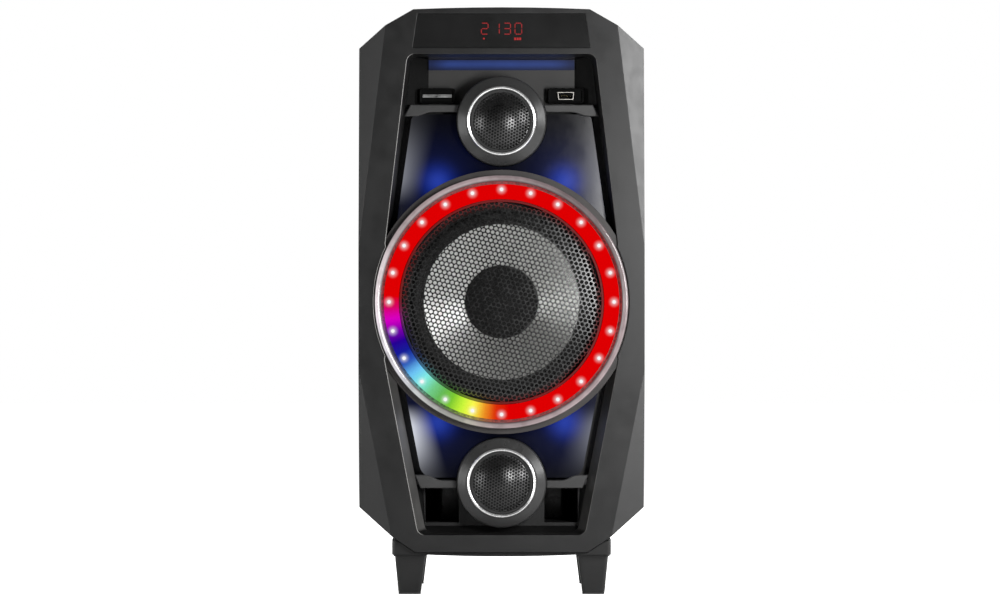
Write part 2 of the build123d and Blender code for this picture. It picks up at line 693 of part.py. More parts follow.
# ---------------------------------------------------------------- woofer
CONE_R = 65.7
CONE_RIM_Y = -77.4
COIL_R = 12.7
CONE_NECK_Y = -50.0
DUST_CAP_R = 30.9
DUST_CAP_RISE = 8.5
PAPER = 1.2
ROLL_R = 4.0
GLUE_LIP = 2.9              # the surround overlaps the cone's edge by this much
SURROUND_R = 80.0
BASKET_LIP_R = 74.0
BASKET_R = 84.0
TOP_PLATE_Y = -37.0
MAGNET_Y = -32.0
BACK_PLATE_Y = -14.0
MOTOR_END_Y = -8.0
SPIDER_Y = -51.0


def cone_depth(radius):
    """Front surface of the straight-sided cone at a radius."""
    return CONE_RIM_Y + (CONE_R - radius) * (CONE_NECK_Y - CONE_RIM_Y) / (CONE_R - COIL_R)


with BuildPart() as woofer_grille:
    edge_y, centre_y, sheet = COLLAR_FACE_Y - 0.25, -111.8, 0.9
    with BuildSketch(Plane.XY.offset(WOOFER_Z)):
        with BuildLine():
            Line((0, centre_y), (0, centre_y + sheet))
            ThreePointArc((0, centre_y + sheet), cap_middle(centre_y + sheet, (80, edge_y)), (80, edge_y))
            Polyline((80, edge_y), (GRILLE_R, edge_y), (GRILLE_R, edge_y - sheet), (80, edge_y - sheet))
            ThreePointArc((80, edge_y - sheet), cap_middle(centre_y, (80, edge_y - sheet)), (0, centre_y))
        make_face()
    revolve(axis=Axis((0, 0, WOOFER_Z), (0, 1, 0)))
save(woofer_grille, "woofer_grille")

woofer_basket_body = turned(WOOFER_Z, (BASKET_LIP_R, -77), (BASKET_R, -77), (BASKET_R, -74.05), (76, -74.05),
                            (49.5, TOP_PLATE_Y - 1.5), (49.5, TOP_PLATE_Y), (16, TOP_PLATE_Y),
                            (16, TOP_PLATE_Y - 2), (46, TOP_PLATE_Y - 2), (46, SPIDER_Y + 2),
                            (49, SPIDER_Y + 2))
with BuildPart() as woofer_basket:
    add(woofer_basket_body.part)
    with BuildSketch(front(TOP_PLATE_Y - 6, WOOFER_Z)):
        with PolarLocations(61, 6, start_angle=30):
            SlotOverall(34, 17, rotation=90)
    extrude(amount=30, mode=Mode.SUBTRACT)
save(woofer_basket, "woofer_basket")

with BuildPart() as woofer_surround:
    roll_start = CONE_R + GLUE_LIP
    roll_end = roll_start + 2 * ROLL_R
    roll_x = roll_start + ROLL_R
    base_y, film = CONE_RIM_Y - 0.1, 0.8
    with BuildSketch(Plane.XY.offset(WOOFER_Z)):
        with BuildLine():
            Polyline((roll_start + 0.8, base_y), (CONE_R, base_y), (CONE_R, base_y - film),
                     (roll_start, base_y - film))
            ThreePointArc((roll_start, base_y - film), (roll_x, base_y - film - ROLL_R),
                          (roll_end, base_y - film))
            Polyline((roll_end, base_y - film), (SURROUND_R, base_y - film), (SURROUND_R, base_y),
                     (roll_end - 0.8, base_y))
            ThreePointArc((roll_end - 0.8, base_y), (roll_x, base_y - ROLL_R), (roll_start + 0.8, base_y))
        make_face()
    revolve(axis=Axis((0, 0, WOOFER_Z), (0, 1, 0)))
save(woofer_surround, "woofer_surround")

woofer_cone = turned(WOOFER_Z, (CONE_R + GLUE_LIP, CONE_RIM_Y), (CONE_R, CONE_RIM_Y),
                     (COIL_R + 0.8, CONE_NECK_Y - 1.6), (COIL_R + 0.8, CONE_NECK_Y + PAPER - 1.6),
                     (CONE_R + 0.8, CONE_RIM_Y + PAPER), (CONE_R + GLUE_LIP, CONE_RIM_Y + PAPER))
save(woofer_cone, "woofer_cone")

with BuildPart() as woofer_dust_cap:
    seat_y = cone_depth(DUST_CAP_R) - 1.9
    apex_y, inner_edge = seat_y - DUST_CAP_RISE, (DUST_CAP_R - 1.0, seat_y + 0.4)
    with BuildSketch(Plane.XY.offset(WOOFER_Z)):
        with BuildLine():
            ThreePointArc((0, apex_y), cap_middle(apex_y, (DUST_CAP_R, seat_y)), (DUST_CAP_R, seat_y))
            Line((DUST_CAP_R, seat_y), inner_edge)
            ThreePointArc(inner_edge, cap_middle(apex_y + 1.0, inner_edge), (0, apex_y + 1.0))
            Line((0, apex_y + 1.0), (0, apex_y))
        make_face()
    revolve(axis=Axis((0, 0, WOOFER_Z), (0, 1, 0)))
save(woofer_dust_cap, "woofer_dust_cap")

woofer_voice_coil = turned(WOOFER_Z, (COIL_R, CONE_NECK_Y - 4), (COIL_R + 0.6, CONE_NECK_Y - 4),
                           (COIL_R + 0.6, -29), (COIL_R, -29))
save(woofer_voice_coil, "woofer_voice_coil")

with BuildPart() as woofer_spider:
    waves, inner_r, outer_r, cloth = 4, COIL_R + 1.0, 45.0, 0.8
    pitch = (outer_r - 4 - inner_r - 2) / (2 * waves)
    front_edge = [(inner_r, SPIDER_Y + 6), (inner_r + 2, SPIDER_Y + 6)]
    for wave in range(2 * waves):
        lift = -1.6 if wave % 2 else 1.2
        slope = 6 * (1 - (wave + 1) / (2 * waves))
        front_edge.append((inner_r + 2 + pitch * (wave + 0.5), SPIDER_Y + 1.6 + slope * 0.6 + lift))
    front_edge += [(outer_r - 4, SPIDER_Y + 1.2), (outer_r, SPIDER_Y + 1.2)]
    with BuildSketch(Plane.XY.offset(WOOFER_Z)):
        with BuildLine():
            Polyline(*front_edge, *[(r, y - cloth) for r, y in reversed(front_edge)], close=True)
        make_face()
    revolve(axis=Axis((0, 0, WOOFER_Z), (0, 1, 0)))
save(woofer_spider, "woofer_spider")

woofer_magnet = turned(WOOFER_Z, (20, MAGNET_Y), (45, MAGNET_Y), (45, BACK_PLATE_Y), (20, BACK_PLATE_Y))
save(woofer_magnet, "woofer_magnet")

with BuildPart() as woofer_plates:
    add(turned(WOOFER_Z, (COIL_R + 1.6, TOP_PLATE_Y + 0.05), (43, TOP_PLATE_Y + 0.05), (43, MAGNET_Y - 0.02),
               (COIL_R + 1.6, MAGNET_Y - 0.02)).part)
    add(turned(WOOFER_Z, (0, TOP_PLATE_Y), (COIL_R - 0.6, TOP_PLATE_Y), (COIL_R - 0.6, BACK_PLATE_Y + 0.02),
               (43, BACK_PLATE_Y + 0.02), (43, MOTOR_END_Y), (0, MOTOR_END_Y)).part)
save(woofer_plates, "woofer_plates")

# ---------------------------------------------------------------- top console
KNOB_HOLE_R = 3.3
SHAFT_R = 3.0
SHAFT_END_Z = 461.0
BOARD_T = 1.6
VOLUME_SPOT = (0.0, 14.0)
MIC_SPOT = (-38.0, 26.0)
ECHO_SPOT = (38.0, 26.0)
knob_spots = [VOLUME_SPOT, MIC_SPOT, ECHO_SPOT]
BUTTON_SIZE = (14.0, 8.0)
BUTTON_Y = -22.0
button_x = {"previous": -42.0, "play": -14.0, "next": 14.0, "mode": 42.0}
button_spots = [(x, BUTTON_Y) for x in button_x.values()]

with BuildPart() as control_panel:
    with BuildSketch(Plane.XY.offset(DECK_SEAT_Z)):
        with Locations((0, DECK_Y)):
            RectangleRounded(DECK_FLANGE[0] - 0.8, DECK_FLANGE[1] - 0.8, radius=7.6)
    extrude(amount=2.2)
    with BuildSketch(Plane.XY.offset(DECK_Z - DECK_WALL)):
        with Locations((0, DECK_Y)):
            RectangleRounded(DECK_HOLE[0] - 0.8, DECK_HOLE[1] - 0.8, radius=5.6)
    extrude(amount=DECK_SEAT_Z - DECK_Z + DECK_WALL)
    with BuildSketch(Plane.XY.offset(DECK_Z)):
        with Locations((0, DECK_Y)):
            RectangleRounded(DECK_HOLE[0] - 5, DECK_HOLE[1] - 5, radius=4)
    extrude(amount=30, mode=Mode.SUBTRACT)
    with BuildSketch(Plane.XY.offset(DECK_Z - DECK_WALL)):
        with Locations(*knob_spots):
            Circle(KNOB_HOLE_R)
        with Locations(*button_spots):
            RectangleRounded(BUTTON_SIZE[0] + 0.6, BUTTON_SIZE[1] + 0.6, radius=2.3)
    extrude(amount=10, mode=Mode.SUBTRACT)
save(control_panel, "control_panel")

with BuildPart() as control_board:
    with BuildSketch(Plane.XY.offset(CONTROL_BOARD_Z)):
        with Locations((0, DECK_Y)):
            Rectangle(116, 84)
    extrude(amount=BOARD_T)
    with BuildSketch(Plane.XY.offset(CONTROL_BOARD_Z + BOARD_T)):
        with Locations(*knob_spots):
            Rectangle(13, 13)
            Circle(KNOB_HOLE_R, mode=Mode.SUBTRACT)
    extrude(amount=8.5)
    with BuildSketch(Plane.XY.offset(CONTROL_BOARD_Z + BOARD_T)):
        with Locations(*button_spots):
            Rectangle(6, 6)
    extrude(amount=4)
save(control_board, "control_board")


def knob(spot, radius, height, flutes):
    """A fluted knob with a pointer groove on top and its shaft below."""
    base, top = DECK_Z + 0.6, DECK_Z + 0.6 + height
    with BuildPart() as turning:
        with BuildSketch(Plane(origin=(*spot, 0), x_dir=(1, 0, 0), z_dir=(0, -1, 0))):
            with BuildLine():
                Polyline((0, base), (radius, base), (radius - 0.5, top - 0.8), (radius - 1.3, top), (0, top),
                         close=True)
            make_face()
        revolve(axis=Axis((*spot, 0), (0, 0, 1)))
        with BuildSketch(Plane.XY.offset(DECK_Z + 2.0)):
            with Locations(spot):
                with PolarLocations(radius + 0.3, flutes):
                    Circle(0.9)
        extrude(amount=height, mode=Mode.SUBTRACT)
        with BuildSketch(Plane.XY.offset(top - 0.7)):
            with Locations((spot[0], spot[1] + radius * 0.62)):
                SlotOverall(radius * 0.5, 1.4, rotation=90)
        extrude(amount=5, mode=Mode.SUBTRACT)
        with BuildSketch(Plane.XY.offset(SHAFT_END_Z)):
            with Locations(spot):
                Circle(SHAFT_R)
        extrude(amount=DECK_Z + 1.0 - SHAFT_END_Z)
    return turning


save(knob(VOLUME_SPOT, 17.0, 15.0, 28), "volume_knob")
save(knob(MIC_SPOT, 8.5, 13.0, 16), "mic_knob")
save(knob(ECHO_SPOT, 8.5, 13.0, 16), "echo_knob")

CAP_BASE_Z = DECK_Z - DECK_WALL - 1.8
for name, x in button_x.items():
    with BuildPart() as button:
        with BuildSketch(Plane.XY.offset(CAP_BASE_Z)):
            with Locations((x, BUTTON_Y)):
                RectangleRounded(BUTTON_SIZE[0] + 2.4, BUTTON_SIZE[1] + 2.4, radius=3)
        extrude(amount=1.4)
        with BuildSketch(Plane.XY.offset(CAP_BASE_Z)):
            with Locations((x, BUTTON_Y)):
                RectangleRounded(*BUTTON_SIZE, radius=2)
        extrude(amount=DECK_Z + 2.4 - CAP_BASE_Z)
        chamfer(button.faces().sort_by(Axis.Z)[-1].edges(), length=0.5)
        with BuildSketch(Plane.XY.offset(CONTROL_BOARD_Z + BOARD_T + 4 + BUTTON_TRAVEL + 0.1)):
            with Locations((x, BUTTON_Y)):
                Circle(2)
        extrude(until=Until.NEXT)
    save(button, f"button_{name}")

# ---------------------------------------------------------------- amplifier, battery and rear plate
PLATE_SIZE = (114.0, 134.0)
PLATE_T = 2.5
JACK_Z = 238.0
JACK_X = 26.0
JACK_BORE_R = 3.2
JACK_DEPTH = 22.0
ROCKER_Z = 172.0
ROCKER_SIZE = (11.0, 20.0)
BOARD_Y = 84.0

with BuildPart() as rear_jack_plate:
    with BuildSketch(front(BACK_Y + PLATE_T, AMP_Z)):
        RectangleRounded(*PLATE_SIZE, radius=8)
    extrude(amount=PLATE_T - 0.05)
    chamfer(rear_jack_plate.faces().sort_by(Axis.Y)[-1].edges(), length=0.8)
    with BuildSketch(front(BACK_Y + 1, AMP_Z)):
        RectangleRounded(AMP_OPENING[0] - 1, AMP_OPENING[1] - 1, radius=4.5)
        RectangleRounded(AMP_OPENING[0] - 6, AMP_OPENING[1] - 6, radius=2, mode=Mode.SUBTRACT)
    extrude(amount=9)
    with BuildSketch(front(BACK_Y + 5, JACK_Z)):
        with Locations((-JACK_X, 0), (JACK_X, 0)):
            Circle(5.1)
    extrude(amount=10, mode=Mode.SUBTRACT)
    with BuildSketch(front(BACK_Y + 5, ROCKER_Z)):
        Rectangle(ROCKER_SIZE[0] + 0.6, ROCKER_SIZE[1] + 1.6)
    extrude(amount=10, mode=Mode.SUBTRACT)
save(rear_jack_plate, "rear_jack_plate")

with BuildPart() as mic_jacks:
    jack_spots = [(-JACK_X, 0), (JACK_X, 0)]
    with BuildSketch(front(REAR_Y, JACK_Z)):
        with Locations(*jack_spots):
            RegularPolygon(7.5, 6)
    extrude(amount=REAR_Y - BACK_Y - PLATE_T - 0.05)
    with BuildSketch(front(REAR_Y, JACK_Z)):
        with Locations(*jack_spots):
            Circle(5.0)
    extrude(amount=REAR_Y - BACK_Y + 4)
    with BuildSketch(front(BACK_Y - 1, JACK_Z)):
        with Locations(*jack_spots):
            Rectangle(15, 16)
    extrude(amount=JACK_DEPTH - 4)
    with BuildSketch(front(REAR_Y, JACK_Z)):
        with Locations(*jack_spots):
            Circle(JACK_BORE_R)
    extrude(amount=JACK_DEPTH, mode=Mode.SUBTRACT)
save(mic_jacks, "mic_jacks")

ROCKER_TILT = 6.0
PIVOT_R = 1.0
with BuildPart() as power_rocker:
    half = ROCKER_SIZE[1] / 2
    side = Plane(origin=(-ROCKER_SIZE[0] / 2, BACK_Y + 0.5, ROCKER_Z), x_dir=(0, 1, 0), z_dir=(1, 0, 0))
    with BuildSketch(side):
        with BuildLine():
            Polyline((0, -half), (3.6, -half), (2.4, 0), (3.6, half), (0, half), (-5.0, 3.0), (-5.0, -3.0),
                     close=True)
        make_face()
        Circle(PIVOT_R, mode=Mode.SUBTRACT)
    extrude(amount=ROCKER_SIZE[0])
rocker_pivot = Axis((0, BACK_Y + 0.5, ROCKER_Z), (1, 0, 0))
power_rocker.part = power_rocker.part.rotate(rocker_pivot, -ROCKER_TILT)
save(power_rocker, "power_rocker")

with BuildPart() as amplifier_board:
    with BuildSketch(front(BOARD_Y, AMP_Z - 6)):
        Rectangle(90, 84)
    extrude(amount=BOARD_T)
    with BuildSketch(front(BOARD_Y - BOARD_T, AMP_Z - 6)):
        with Locations((-30, -26), (-8, -26)):
            Circle(8)
        with Locations((24, -24)):
            Rectangle(26, 22)
    extrude(amount=24)
save(amplifier_board, "amplifier_board")

with BuildPart() as heat_sink:
    with BuildSketch(front(BOARD_Y - BOARD_T - 0.05, AMP_Z + 14)):
        Rectangle(80, 32)
    extrude(amount=5)
    with BuildSketch(front(BOARD_Y - BOARD_T - 5, AMP_Z + 14)):
        with GridLocations(8, 1, 10, 1):
            Rectangle(2.4, 32)
    extrude(amount=17)
save(heat_sink, "heat_sink")

BATTERY_SIZE = (112.0, 62.0, 60.0)
BATTERY_Z = BOTTOM_CORNER[1] + REVEAL + BOARD + 0.2
with BuildPart() as battery_pack:
    with BuildSketch(Plane.XY.offset(BATTERY_Z)):
        with Locations((0, 60)):
            RectangleRounded(BATTERY_SIZE[0], BATTERY_SIZE[1], radius=5)
    extrude(amount=BATTERY_SIZE[2])
    fillet(battery_pack.faces().sort_by(Axis.Z)[-1].edges(), radius=2)
save(battery_pack, "battery_pack")
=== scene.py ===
"""Looks of a party speaker: black moulded fascia, lit ring round the woofer, glossy blue-lit bays.

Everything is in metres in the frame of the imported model. The speaker faces -Y and stands on z = 0.
"""

import math

import bpy
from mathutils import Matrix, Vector


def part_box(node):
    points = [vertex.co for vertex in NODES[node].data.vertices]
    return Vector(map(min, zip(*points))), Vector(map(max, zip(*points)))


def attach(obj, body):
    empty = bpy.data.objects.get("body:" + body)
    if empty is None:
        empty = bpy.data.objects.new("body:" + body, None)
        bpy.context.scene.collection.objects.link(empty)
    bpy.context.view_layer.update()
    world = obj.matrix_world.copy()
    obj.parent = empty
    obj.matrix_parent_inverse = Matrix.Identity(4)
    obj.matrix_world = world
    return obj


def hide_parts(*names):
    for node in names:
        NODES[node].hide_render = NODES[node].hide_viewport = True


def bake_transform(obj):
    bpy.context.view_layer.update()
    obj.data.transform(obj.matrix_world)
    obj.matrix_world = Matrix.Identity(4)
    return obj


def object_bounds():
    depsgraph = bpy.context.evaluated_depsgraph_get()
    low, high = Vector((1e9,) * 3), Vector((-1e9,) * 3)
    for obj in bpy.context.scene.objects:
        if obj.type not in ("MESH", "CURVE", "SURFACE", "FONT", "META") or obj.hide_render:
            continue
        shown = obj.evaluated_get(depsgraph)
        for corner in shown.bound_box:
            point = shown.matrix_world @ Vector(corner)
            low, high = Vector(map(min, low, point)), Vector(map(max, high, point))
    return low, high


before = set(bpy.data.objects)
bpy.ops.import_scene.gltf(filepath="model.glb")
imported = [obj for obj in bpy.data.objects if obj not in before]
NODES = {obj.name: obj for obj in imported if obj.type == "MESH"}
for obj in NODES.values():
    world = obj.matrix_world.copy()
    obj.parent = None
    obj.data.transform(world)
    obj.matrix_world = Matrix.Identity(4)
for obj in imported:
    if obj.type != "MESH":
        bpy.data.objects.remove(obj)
cad_low, cad_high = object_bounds()
MM = 0.001
CABINET = "cabinet"


# ---------------------------------------------------------------- places taken from the frame
def middle(node):
    """Centre of a CAD node's box."""
    low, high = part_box(node)
    return (low + high) / 2


def half_width(node):
    """Half of the width of a CAD node's box."""
    low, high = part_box(node)
    return (high.x - low.x) / 2


WOOFER = middle("woofer_grille")
TWEETERS = {name: middle(f"{name}_tweeter_grille") for name in ("upper", "lower")}
LED_COUNT = 24
LED_HALF = 2.5 * MM                 # half of an LED's square package
led_low, led_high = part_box("ring_leds")
LED_CIRCLE = (led_high.z - led_low.z) / 2 - LED_HALF
LED_INNER = half_width("woofer_grille")
LED_OUTER = half_width("ring_diffuser")
RIM_OUTER = half_width("rim_light_guide")
STRIP_LOW, STRIP_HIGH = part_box("light_strip_diffuser")


# ---------------------------------------------------------------- mesh helpers
def add_piece(name, verts, faces, material, body=CABINET, smooth=True, replaces=()):
    """A new mesh object that rides on a body and can take the place of CAD nodes."""
    mesh = bpy.data.meshes.new(name)
    mesh.from_pydata(verts, [], faces)
    mesh.validate()
    mesh.update()
    if smooth:
        mesh.shade_smooth()
    piece = bpy.data.objects.new(name, mesh)
    bpy.context.scene.collection.objects.link(piece)
    mesh.materials.append(material)
    if body:
        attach(piece, body)
    if replaces:
        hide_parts(*replaces)
    return piece


def smooth_by_angle(piece, degrees):
    """Keep edges sharper than the angle crisp."""
    piece.data.set_sharp_from_angle(angle=math.radians(degrees))


LATHE_STEPS = 160
RING_SHARP = 35
SHEET_SHARP = 40


def lathe(name, centre, profile, material, body=CABINET, replaces=()):
    """A ring: a closed profile of (radius, depth) points in millimetres turned about a driver's axis."""
    verts, faces = [], []
    for radius, depth in profile:
        for step in range(LATHE_STEPS):
            turn = 2 * math.pi * step / LATHE_STEPS
            verts.append((centre.x + radius * MM * math.sin(turn), depth * MM,
                          centre.z + radius * MM * math.cos(turn)))
    for row in range(len(profile)):
        here, there = row * LATHE_STEPS, (row + 1) % len(profile) * LATHE_STEPS
        for step in range(LATHE_STEPS):
            after = (step + 1) % LATHE_STEPS
            faces.append([here + step, here + after, there + after, there + step])
    piece = add_piece(name, verts, faces, material, body, replaces=replaces)
    smooth_by_angle(piece, RING_SHARP)
    return piece


def arc_points(centre, radius, start, end, steps):
    """Points (r, y) on an arc in the profile plane, angles in degrees from +r towards +y."""
    points = []
    for step in range(steps + 1):
        turn = math.radians(start + (end - start) * step / steps)
        points.append((centre[0] + radius * math.cos(turn), centre[1] + radius * math.sin(turn)))
    return points


def domed(apex, dome, edge):
    """Depth by radius, in millimetres, of a sheet that bulges from its rim at radius dome to its apex."""
    rise = edge - apex
    sphere = (dome ** 2 + rise ** 2) / (2 * rise)

    def depth(radius):
        if radius >= dome:
            return edge
        return apex + sphere - math.sqrt(sphere ** 2 - radius ** 2)

    return depth


CELL_SIDES = 12                     # a cell's corners and the middles of its sides in turn
KEYS_PER_MM = 500                   # vertices of neighbouring cells closer than this step are shared


def perforated_sheet(centre, limit, pitch, hole, depth, thickness, twist):
    """Vertices and faces of a sheet of hexagonal cells with round holes, following depth(radius).

    Cells are kept while their whole outline lies inside limit, and neighbours share their corners. hole is
    a radius. The rows are turned by twist degrees about the centre. Sizes are in millimetres.
    """
    verts, faces, index = [], [], {}
    reach = pitch / math.sqrt(3)
    rows = int(limit / (pitch * math.sqrt(3) / 2)) + 1
    cosine, sine = math.cos(math.radians(twist)), math.sin(math.radians(twist))

    def vertex(x, z, back):
        key = (round(x * KEYS_PER_MM), round(z * KEYS_PER_MM), back)
        if key not in index:
            index[key] = len(verts)
            y = depth(math.hypot(x, z)) + (thickness if back else 0.0)
            verts.append((centre.x + (x * cosine - z * sine) * MM, y * MM,
                          centre.z + (x * sine + z * cosine) * MM))
        return index[key]

    for row in range(-rows, rows + 1):
        z = row * pitch * math.sqrt(3) / 2
        shift = pitch / 2 if row % 2 else 0.0
        for column in range(-rows - 1, rows + 2):
            x = column * pitch + shift
            if math.hypot(x, z) + reach > limit:
                continue
            outer, inner = [], []
            for side in range(CELL_SIDES):
                turn = math.radians(30 + 360 * side / CELL_SIDES)
                across = reach if side % 2 == 0 else pitch / 2
                outer.append((x + across * math.cos(turn), z + across * math.sin(turn)))
                inner.append((x + hole * math.cos(turn), z + hole * math.sin(turn)))
            for side in range(CELL_SIDES):
                after = (side + 1) % CELL_SIDES
                quad = (outer[side], outer[after], inner[after], inner[side])
                faces.append([vertex(*p, False) for p in quad])
                faces.append([vertex(*p, True) for p in reversed(quad)])
                faces.append([vertex(*inner[side], False), vertex(*inner[after], False),
                              vertex(*inner[after], True), vertex(*inner[side], True)])
    return verts, faces


# ---------------------------------------------------------------- material helpers
class Surface:
    """A material with its node tree and short ways to add the nodes that most of them share."""

    def __init__(self, name, colour, roughness, metallic=0.0, **inputs):
        self.material = bpy.data.materials.new(name)
        self.material.use_nodes = True
        self.tree = self.material.node_tree
        self.shader = self.tree.nodes["Principled BSDF"]
        self.shader.inputs["Base Color"].default_value = (*colour, 1)
        self.shader.inputs["Roughness"].default_value = roughness
        self.shader.inputs["Metallic"].default_value = metallic
        for key, value in inputs.items():
            self.shader.inputs[key.replace("_", " ")].default_value = value
        self.coords = self.tree.nodes.new("ShaderNodeTexCoord").outputs["Object"]

    def link(self, source, target):
        self.tree.links.new(source, target)

    def position(self):
        """The X, Y and Z of the place on the piece, as the outputs of one node."""
        node = self.tree.nodes.new("ShaderNodeSeparateXYZ")
        self.link(self.coords, node.inputs[0])
        return node.outputs

    def noise(self, scale, detail):
        """Clouds between 0 and 1, finer with a larger scale."""
        node = self.tree.nodes.new("ShaderNodeTexNoise")
        node.inputs["Scale"].default_value = scale
        node.inputs["Detail"].default_value = detail
        node.inputs["Roughness"].default_value = 0.55
        self.link(self.coords, node.inputs["Vector"])
        return node.outputs["Fac"]

    def cells(self, scale, feature="F1"):
        """Distance to the middle of the nearest cell, or to the nearest edge between cells."""
        node = self.tree.nodes.new("ShaderNodeTexVoronoi")
        node.feature = feature
        node.inputs["Scale"].default_value = scale
        self.link(self.coords, node.inputs["Vector"])
        return node.outputs["Distance"]

    def math(self, operation, a, b=0.0, clamp=False):
        """One arithmetic step on sockets or numbers."""
        node = self.tree.nodes.new("ShaderNodeMath")
        node.operation = operation
        node.use_clamp = clamp
        for socket, value in zip(node.inputs, (a, b)):
            if isinstance(value, (int, float)):
                socket.default_value = value
            else:
                self.link(value, socket)
        return node.outputs[0]

    def product(self, *factors):
        """All the factors multiplied together."""
        total = factors[0]
        for factor in factors[1:]:
            total = self.math("MULTIPLY", total, factor)
        return total

    def remap(self, value, low, high, to_low, to_high, smooth=False):
        """Carry low..high over to to_low..to_high, held at both ends."""
        node = self.tree.nodes.new("ShaderNodeMapRange")
        node.interpolation_type = "SMOOTHSTEP" if smooth else "LINEAR"
        settings = {"From Min": low, "From Max": high, "To Min": to_low, "To Max": to_high}
        for key, number in settings.items():
            node.inputs[key].default_value = number
        self.link(value, node.inputs["Value"])
        return node.outputs["Result"]

    def ramp(self, value, stops, interpolation="LINEAR"):
        """A colour for each value, from (position, colour) stops."""
        node = self.tree.nodes.new("ShaderNodeValToRGB")
        node.color_ramp.interpolation = interpolation
        elements = node.color_ramp.elements
        while len(elements) > 1:
            elements.remove(elements[-1])
        elements[0].position, elements[0].color = stops[0][0], (*stops[0][1], 1)
        for position, colour in stops[1:]:
            elements.new(position).color = (*colour, 1)
        self.link(value, node.inputs["Fac"])
        return node.outputs["Color"]

    def mix(self, share, a, b):
        """Colour a where share is 0, colour b where it is 1."""
        node = self.tree.nodes.new("ShaderNodeMixRGB")
        for socket, value in zip(node.inputs, (share, a, b)):
            if isinstance(value, (int, float)):
                socket.default_value = value
            elif isinstance(value, tuple):
                socket.default_value = (*value, 1)
            else:
                self.link(value, socket)
        return node.outputs[0]

    def vary(self, source, socket, low, high):
        """Drive an input between low and high with a 0-1 pattern."""
        self.link(self.remap(source, 0.3, 0.7, low, high), self.shader.inputs[socket])

    def rounded(self, radius):
        """A normal that makes edges look rounded."""
        node = self.tree.nodes.new("ShaderNodeBevel")
        node.samples = 6
        node.inputs["Radius"].default_value = radius
        return node.outputs["Normal"]

    def bump(self, height, distance, strength, normal=None):
        """Relief from a pattern, on top of another normal where one is given."""
        node = self.tree.nodes.new("ShaderNodeBump")
        if normal:
            self.link(normal, node.inputs["Normal"])
        node.inputs["Strength"].default_value = strength
        node.inputs["Distance"].default_value = distance
        self.link(height, node.inputs["Height"])
        self.link(node.outputs["Normal"], self.shader.inputs["Normal"])

    def polar(self, centre):
        """Radius in metres and turn (0-1, clockwise from the top) about a driver axis."""
        place = self.position()
        x = self.math("SUBTRACT", place["X"], centre.x)
        z = self.math("SUBTRACT", place["Z"], centre.z)
        squares = self.math("ADD", self.math("MULTIPLY", x, x), self.math("MULTIPLY", z, z))
        radius = self.math("SQRT", squares)
        turn = self.math("DIVIDE", self.math("ARCTAN2", x, z), 2 * math.pi)
        return radius, self.math("FRACT", self.math("ADD", turn, 1.0))

    def spot(self, x, z, radius):
        """1 at a point of the front view, falling smoothly to 0 at radius."""
        place = self.position()
        away = self.tree.nodes.new("ShaderNodeCombineXYZ")
        self.link(self.math("SUBTRACT", place["X"], x), away.inputs["X"])
        self.link(self.math("SUBTRACT", place["Z"], z), away.inputs["Z"])
        length = self.tree.nodes.new("ShaderNodeVectorMath")
        length.operation = "LENGTH"
        self.link(away.outputs[0], length.inputs[0])
        return self.remap(length.outputs["Value"], 0.0, radius, 1.0, 0.0, smooth=True)

    def glow(self, colour, strength):
        """Emission, whose colour is a socket or a tuple and whose strength is a socket or a number."""
        for value, key in ((colour, "Emission Color"), (strength, "Emission Strength")):
            if isinstance(value, tuple):
                self.shader.inputs[key].default_value = (*value, 1)
            elif isinstance(value, (int, float)):
                self.shader.inputs[key].default_value = value
            else:
                self.link(value, self.shader.inputs[key])


def screen(*levels):
    """Linear colour from red, green and blue display levels, 0 to 255."""
    dark_limit = 10
    return tuple(((level / 255 + 0.055) / 1.055) ** 2.4 if level > dark_limit else level / 255 / 12.92
                 for level in levels)


# ---------------------------------------------------------------- materials
RING_RED = screen(222, 0, 2)
# the ring's colours by turn, from 0 at its top clockwise to 1
RING_COLOURS = [
    (0.0, RING_RED), (0.49, RING_RED), (0.51, screen(220, 48, 10)), (0.525, screen(236, 145, 36)),
    (0.542, screen(253, 248, 80)), (0.558, screen(198, 245, 58)), (0.575, screen(122, 200, 50)),
    (0.592, screen(102, 184, 86)), (0.608, screen(114, 204, 140)), (0.625, screen(130, 236, 226)),
    (0.642, screen(108, 195, 246)), (0.658, screen(48, 90, 184)), (0.675, screen(20, 28, 152)),
    (0.692, screen(38, 0, 148)), (0.708, screen(122, 0, 172)), (0.725, screen(216, 0, 196)),
    (0.742, screen(215, 4, 102)), (0.758, RING_RED), (1.0, RING_RED)]
WARM_WHITE = (1.0, 0.98, 0.95)
EDGE_RADIUS = 0.9 * MM              # how far the rounding of moulded and wrapped edges reaches
FINE_GRAIN = 1800                   # scale of a moulded surface's grain


def black_surface(name, level, roughness, grain=FINE_GRAIN, specular=0.5):
    """Satin black moulded plastic: fine spark-eroded grain, faint clouds in its sheen, rounded edges."""
    s = Surface(name, (level, level, level * 1.02), roughness, Specular_IOR_Level=specular)
    cloud = s.noise(22, 5)
    colour = s.mix(s.remap(cloud, 0.35, 0.65, 0, 1), (level * 0.85,) * 3, (level * 1.2,) * 3)
    s.link(colour, s.shader.inputs["Base Color"])
    s.vary(s.noise(60, 6), "Roughness", roughness - 0.05, roughness + 0.06)
    edges = s.rounded(EDGE_RADIUS)
    s.bump(s.noise(grain, 2), 0.05 * MM, 0.35, edges)
    return s, edges


def moulded_black(name, level, roughness, grain=FINE_GRAIN, specular=0.5):
    """A black plastic or rubber, where level is its base colour."""
    return black_surface(name, level, roughness, grain, specular)[0].material


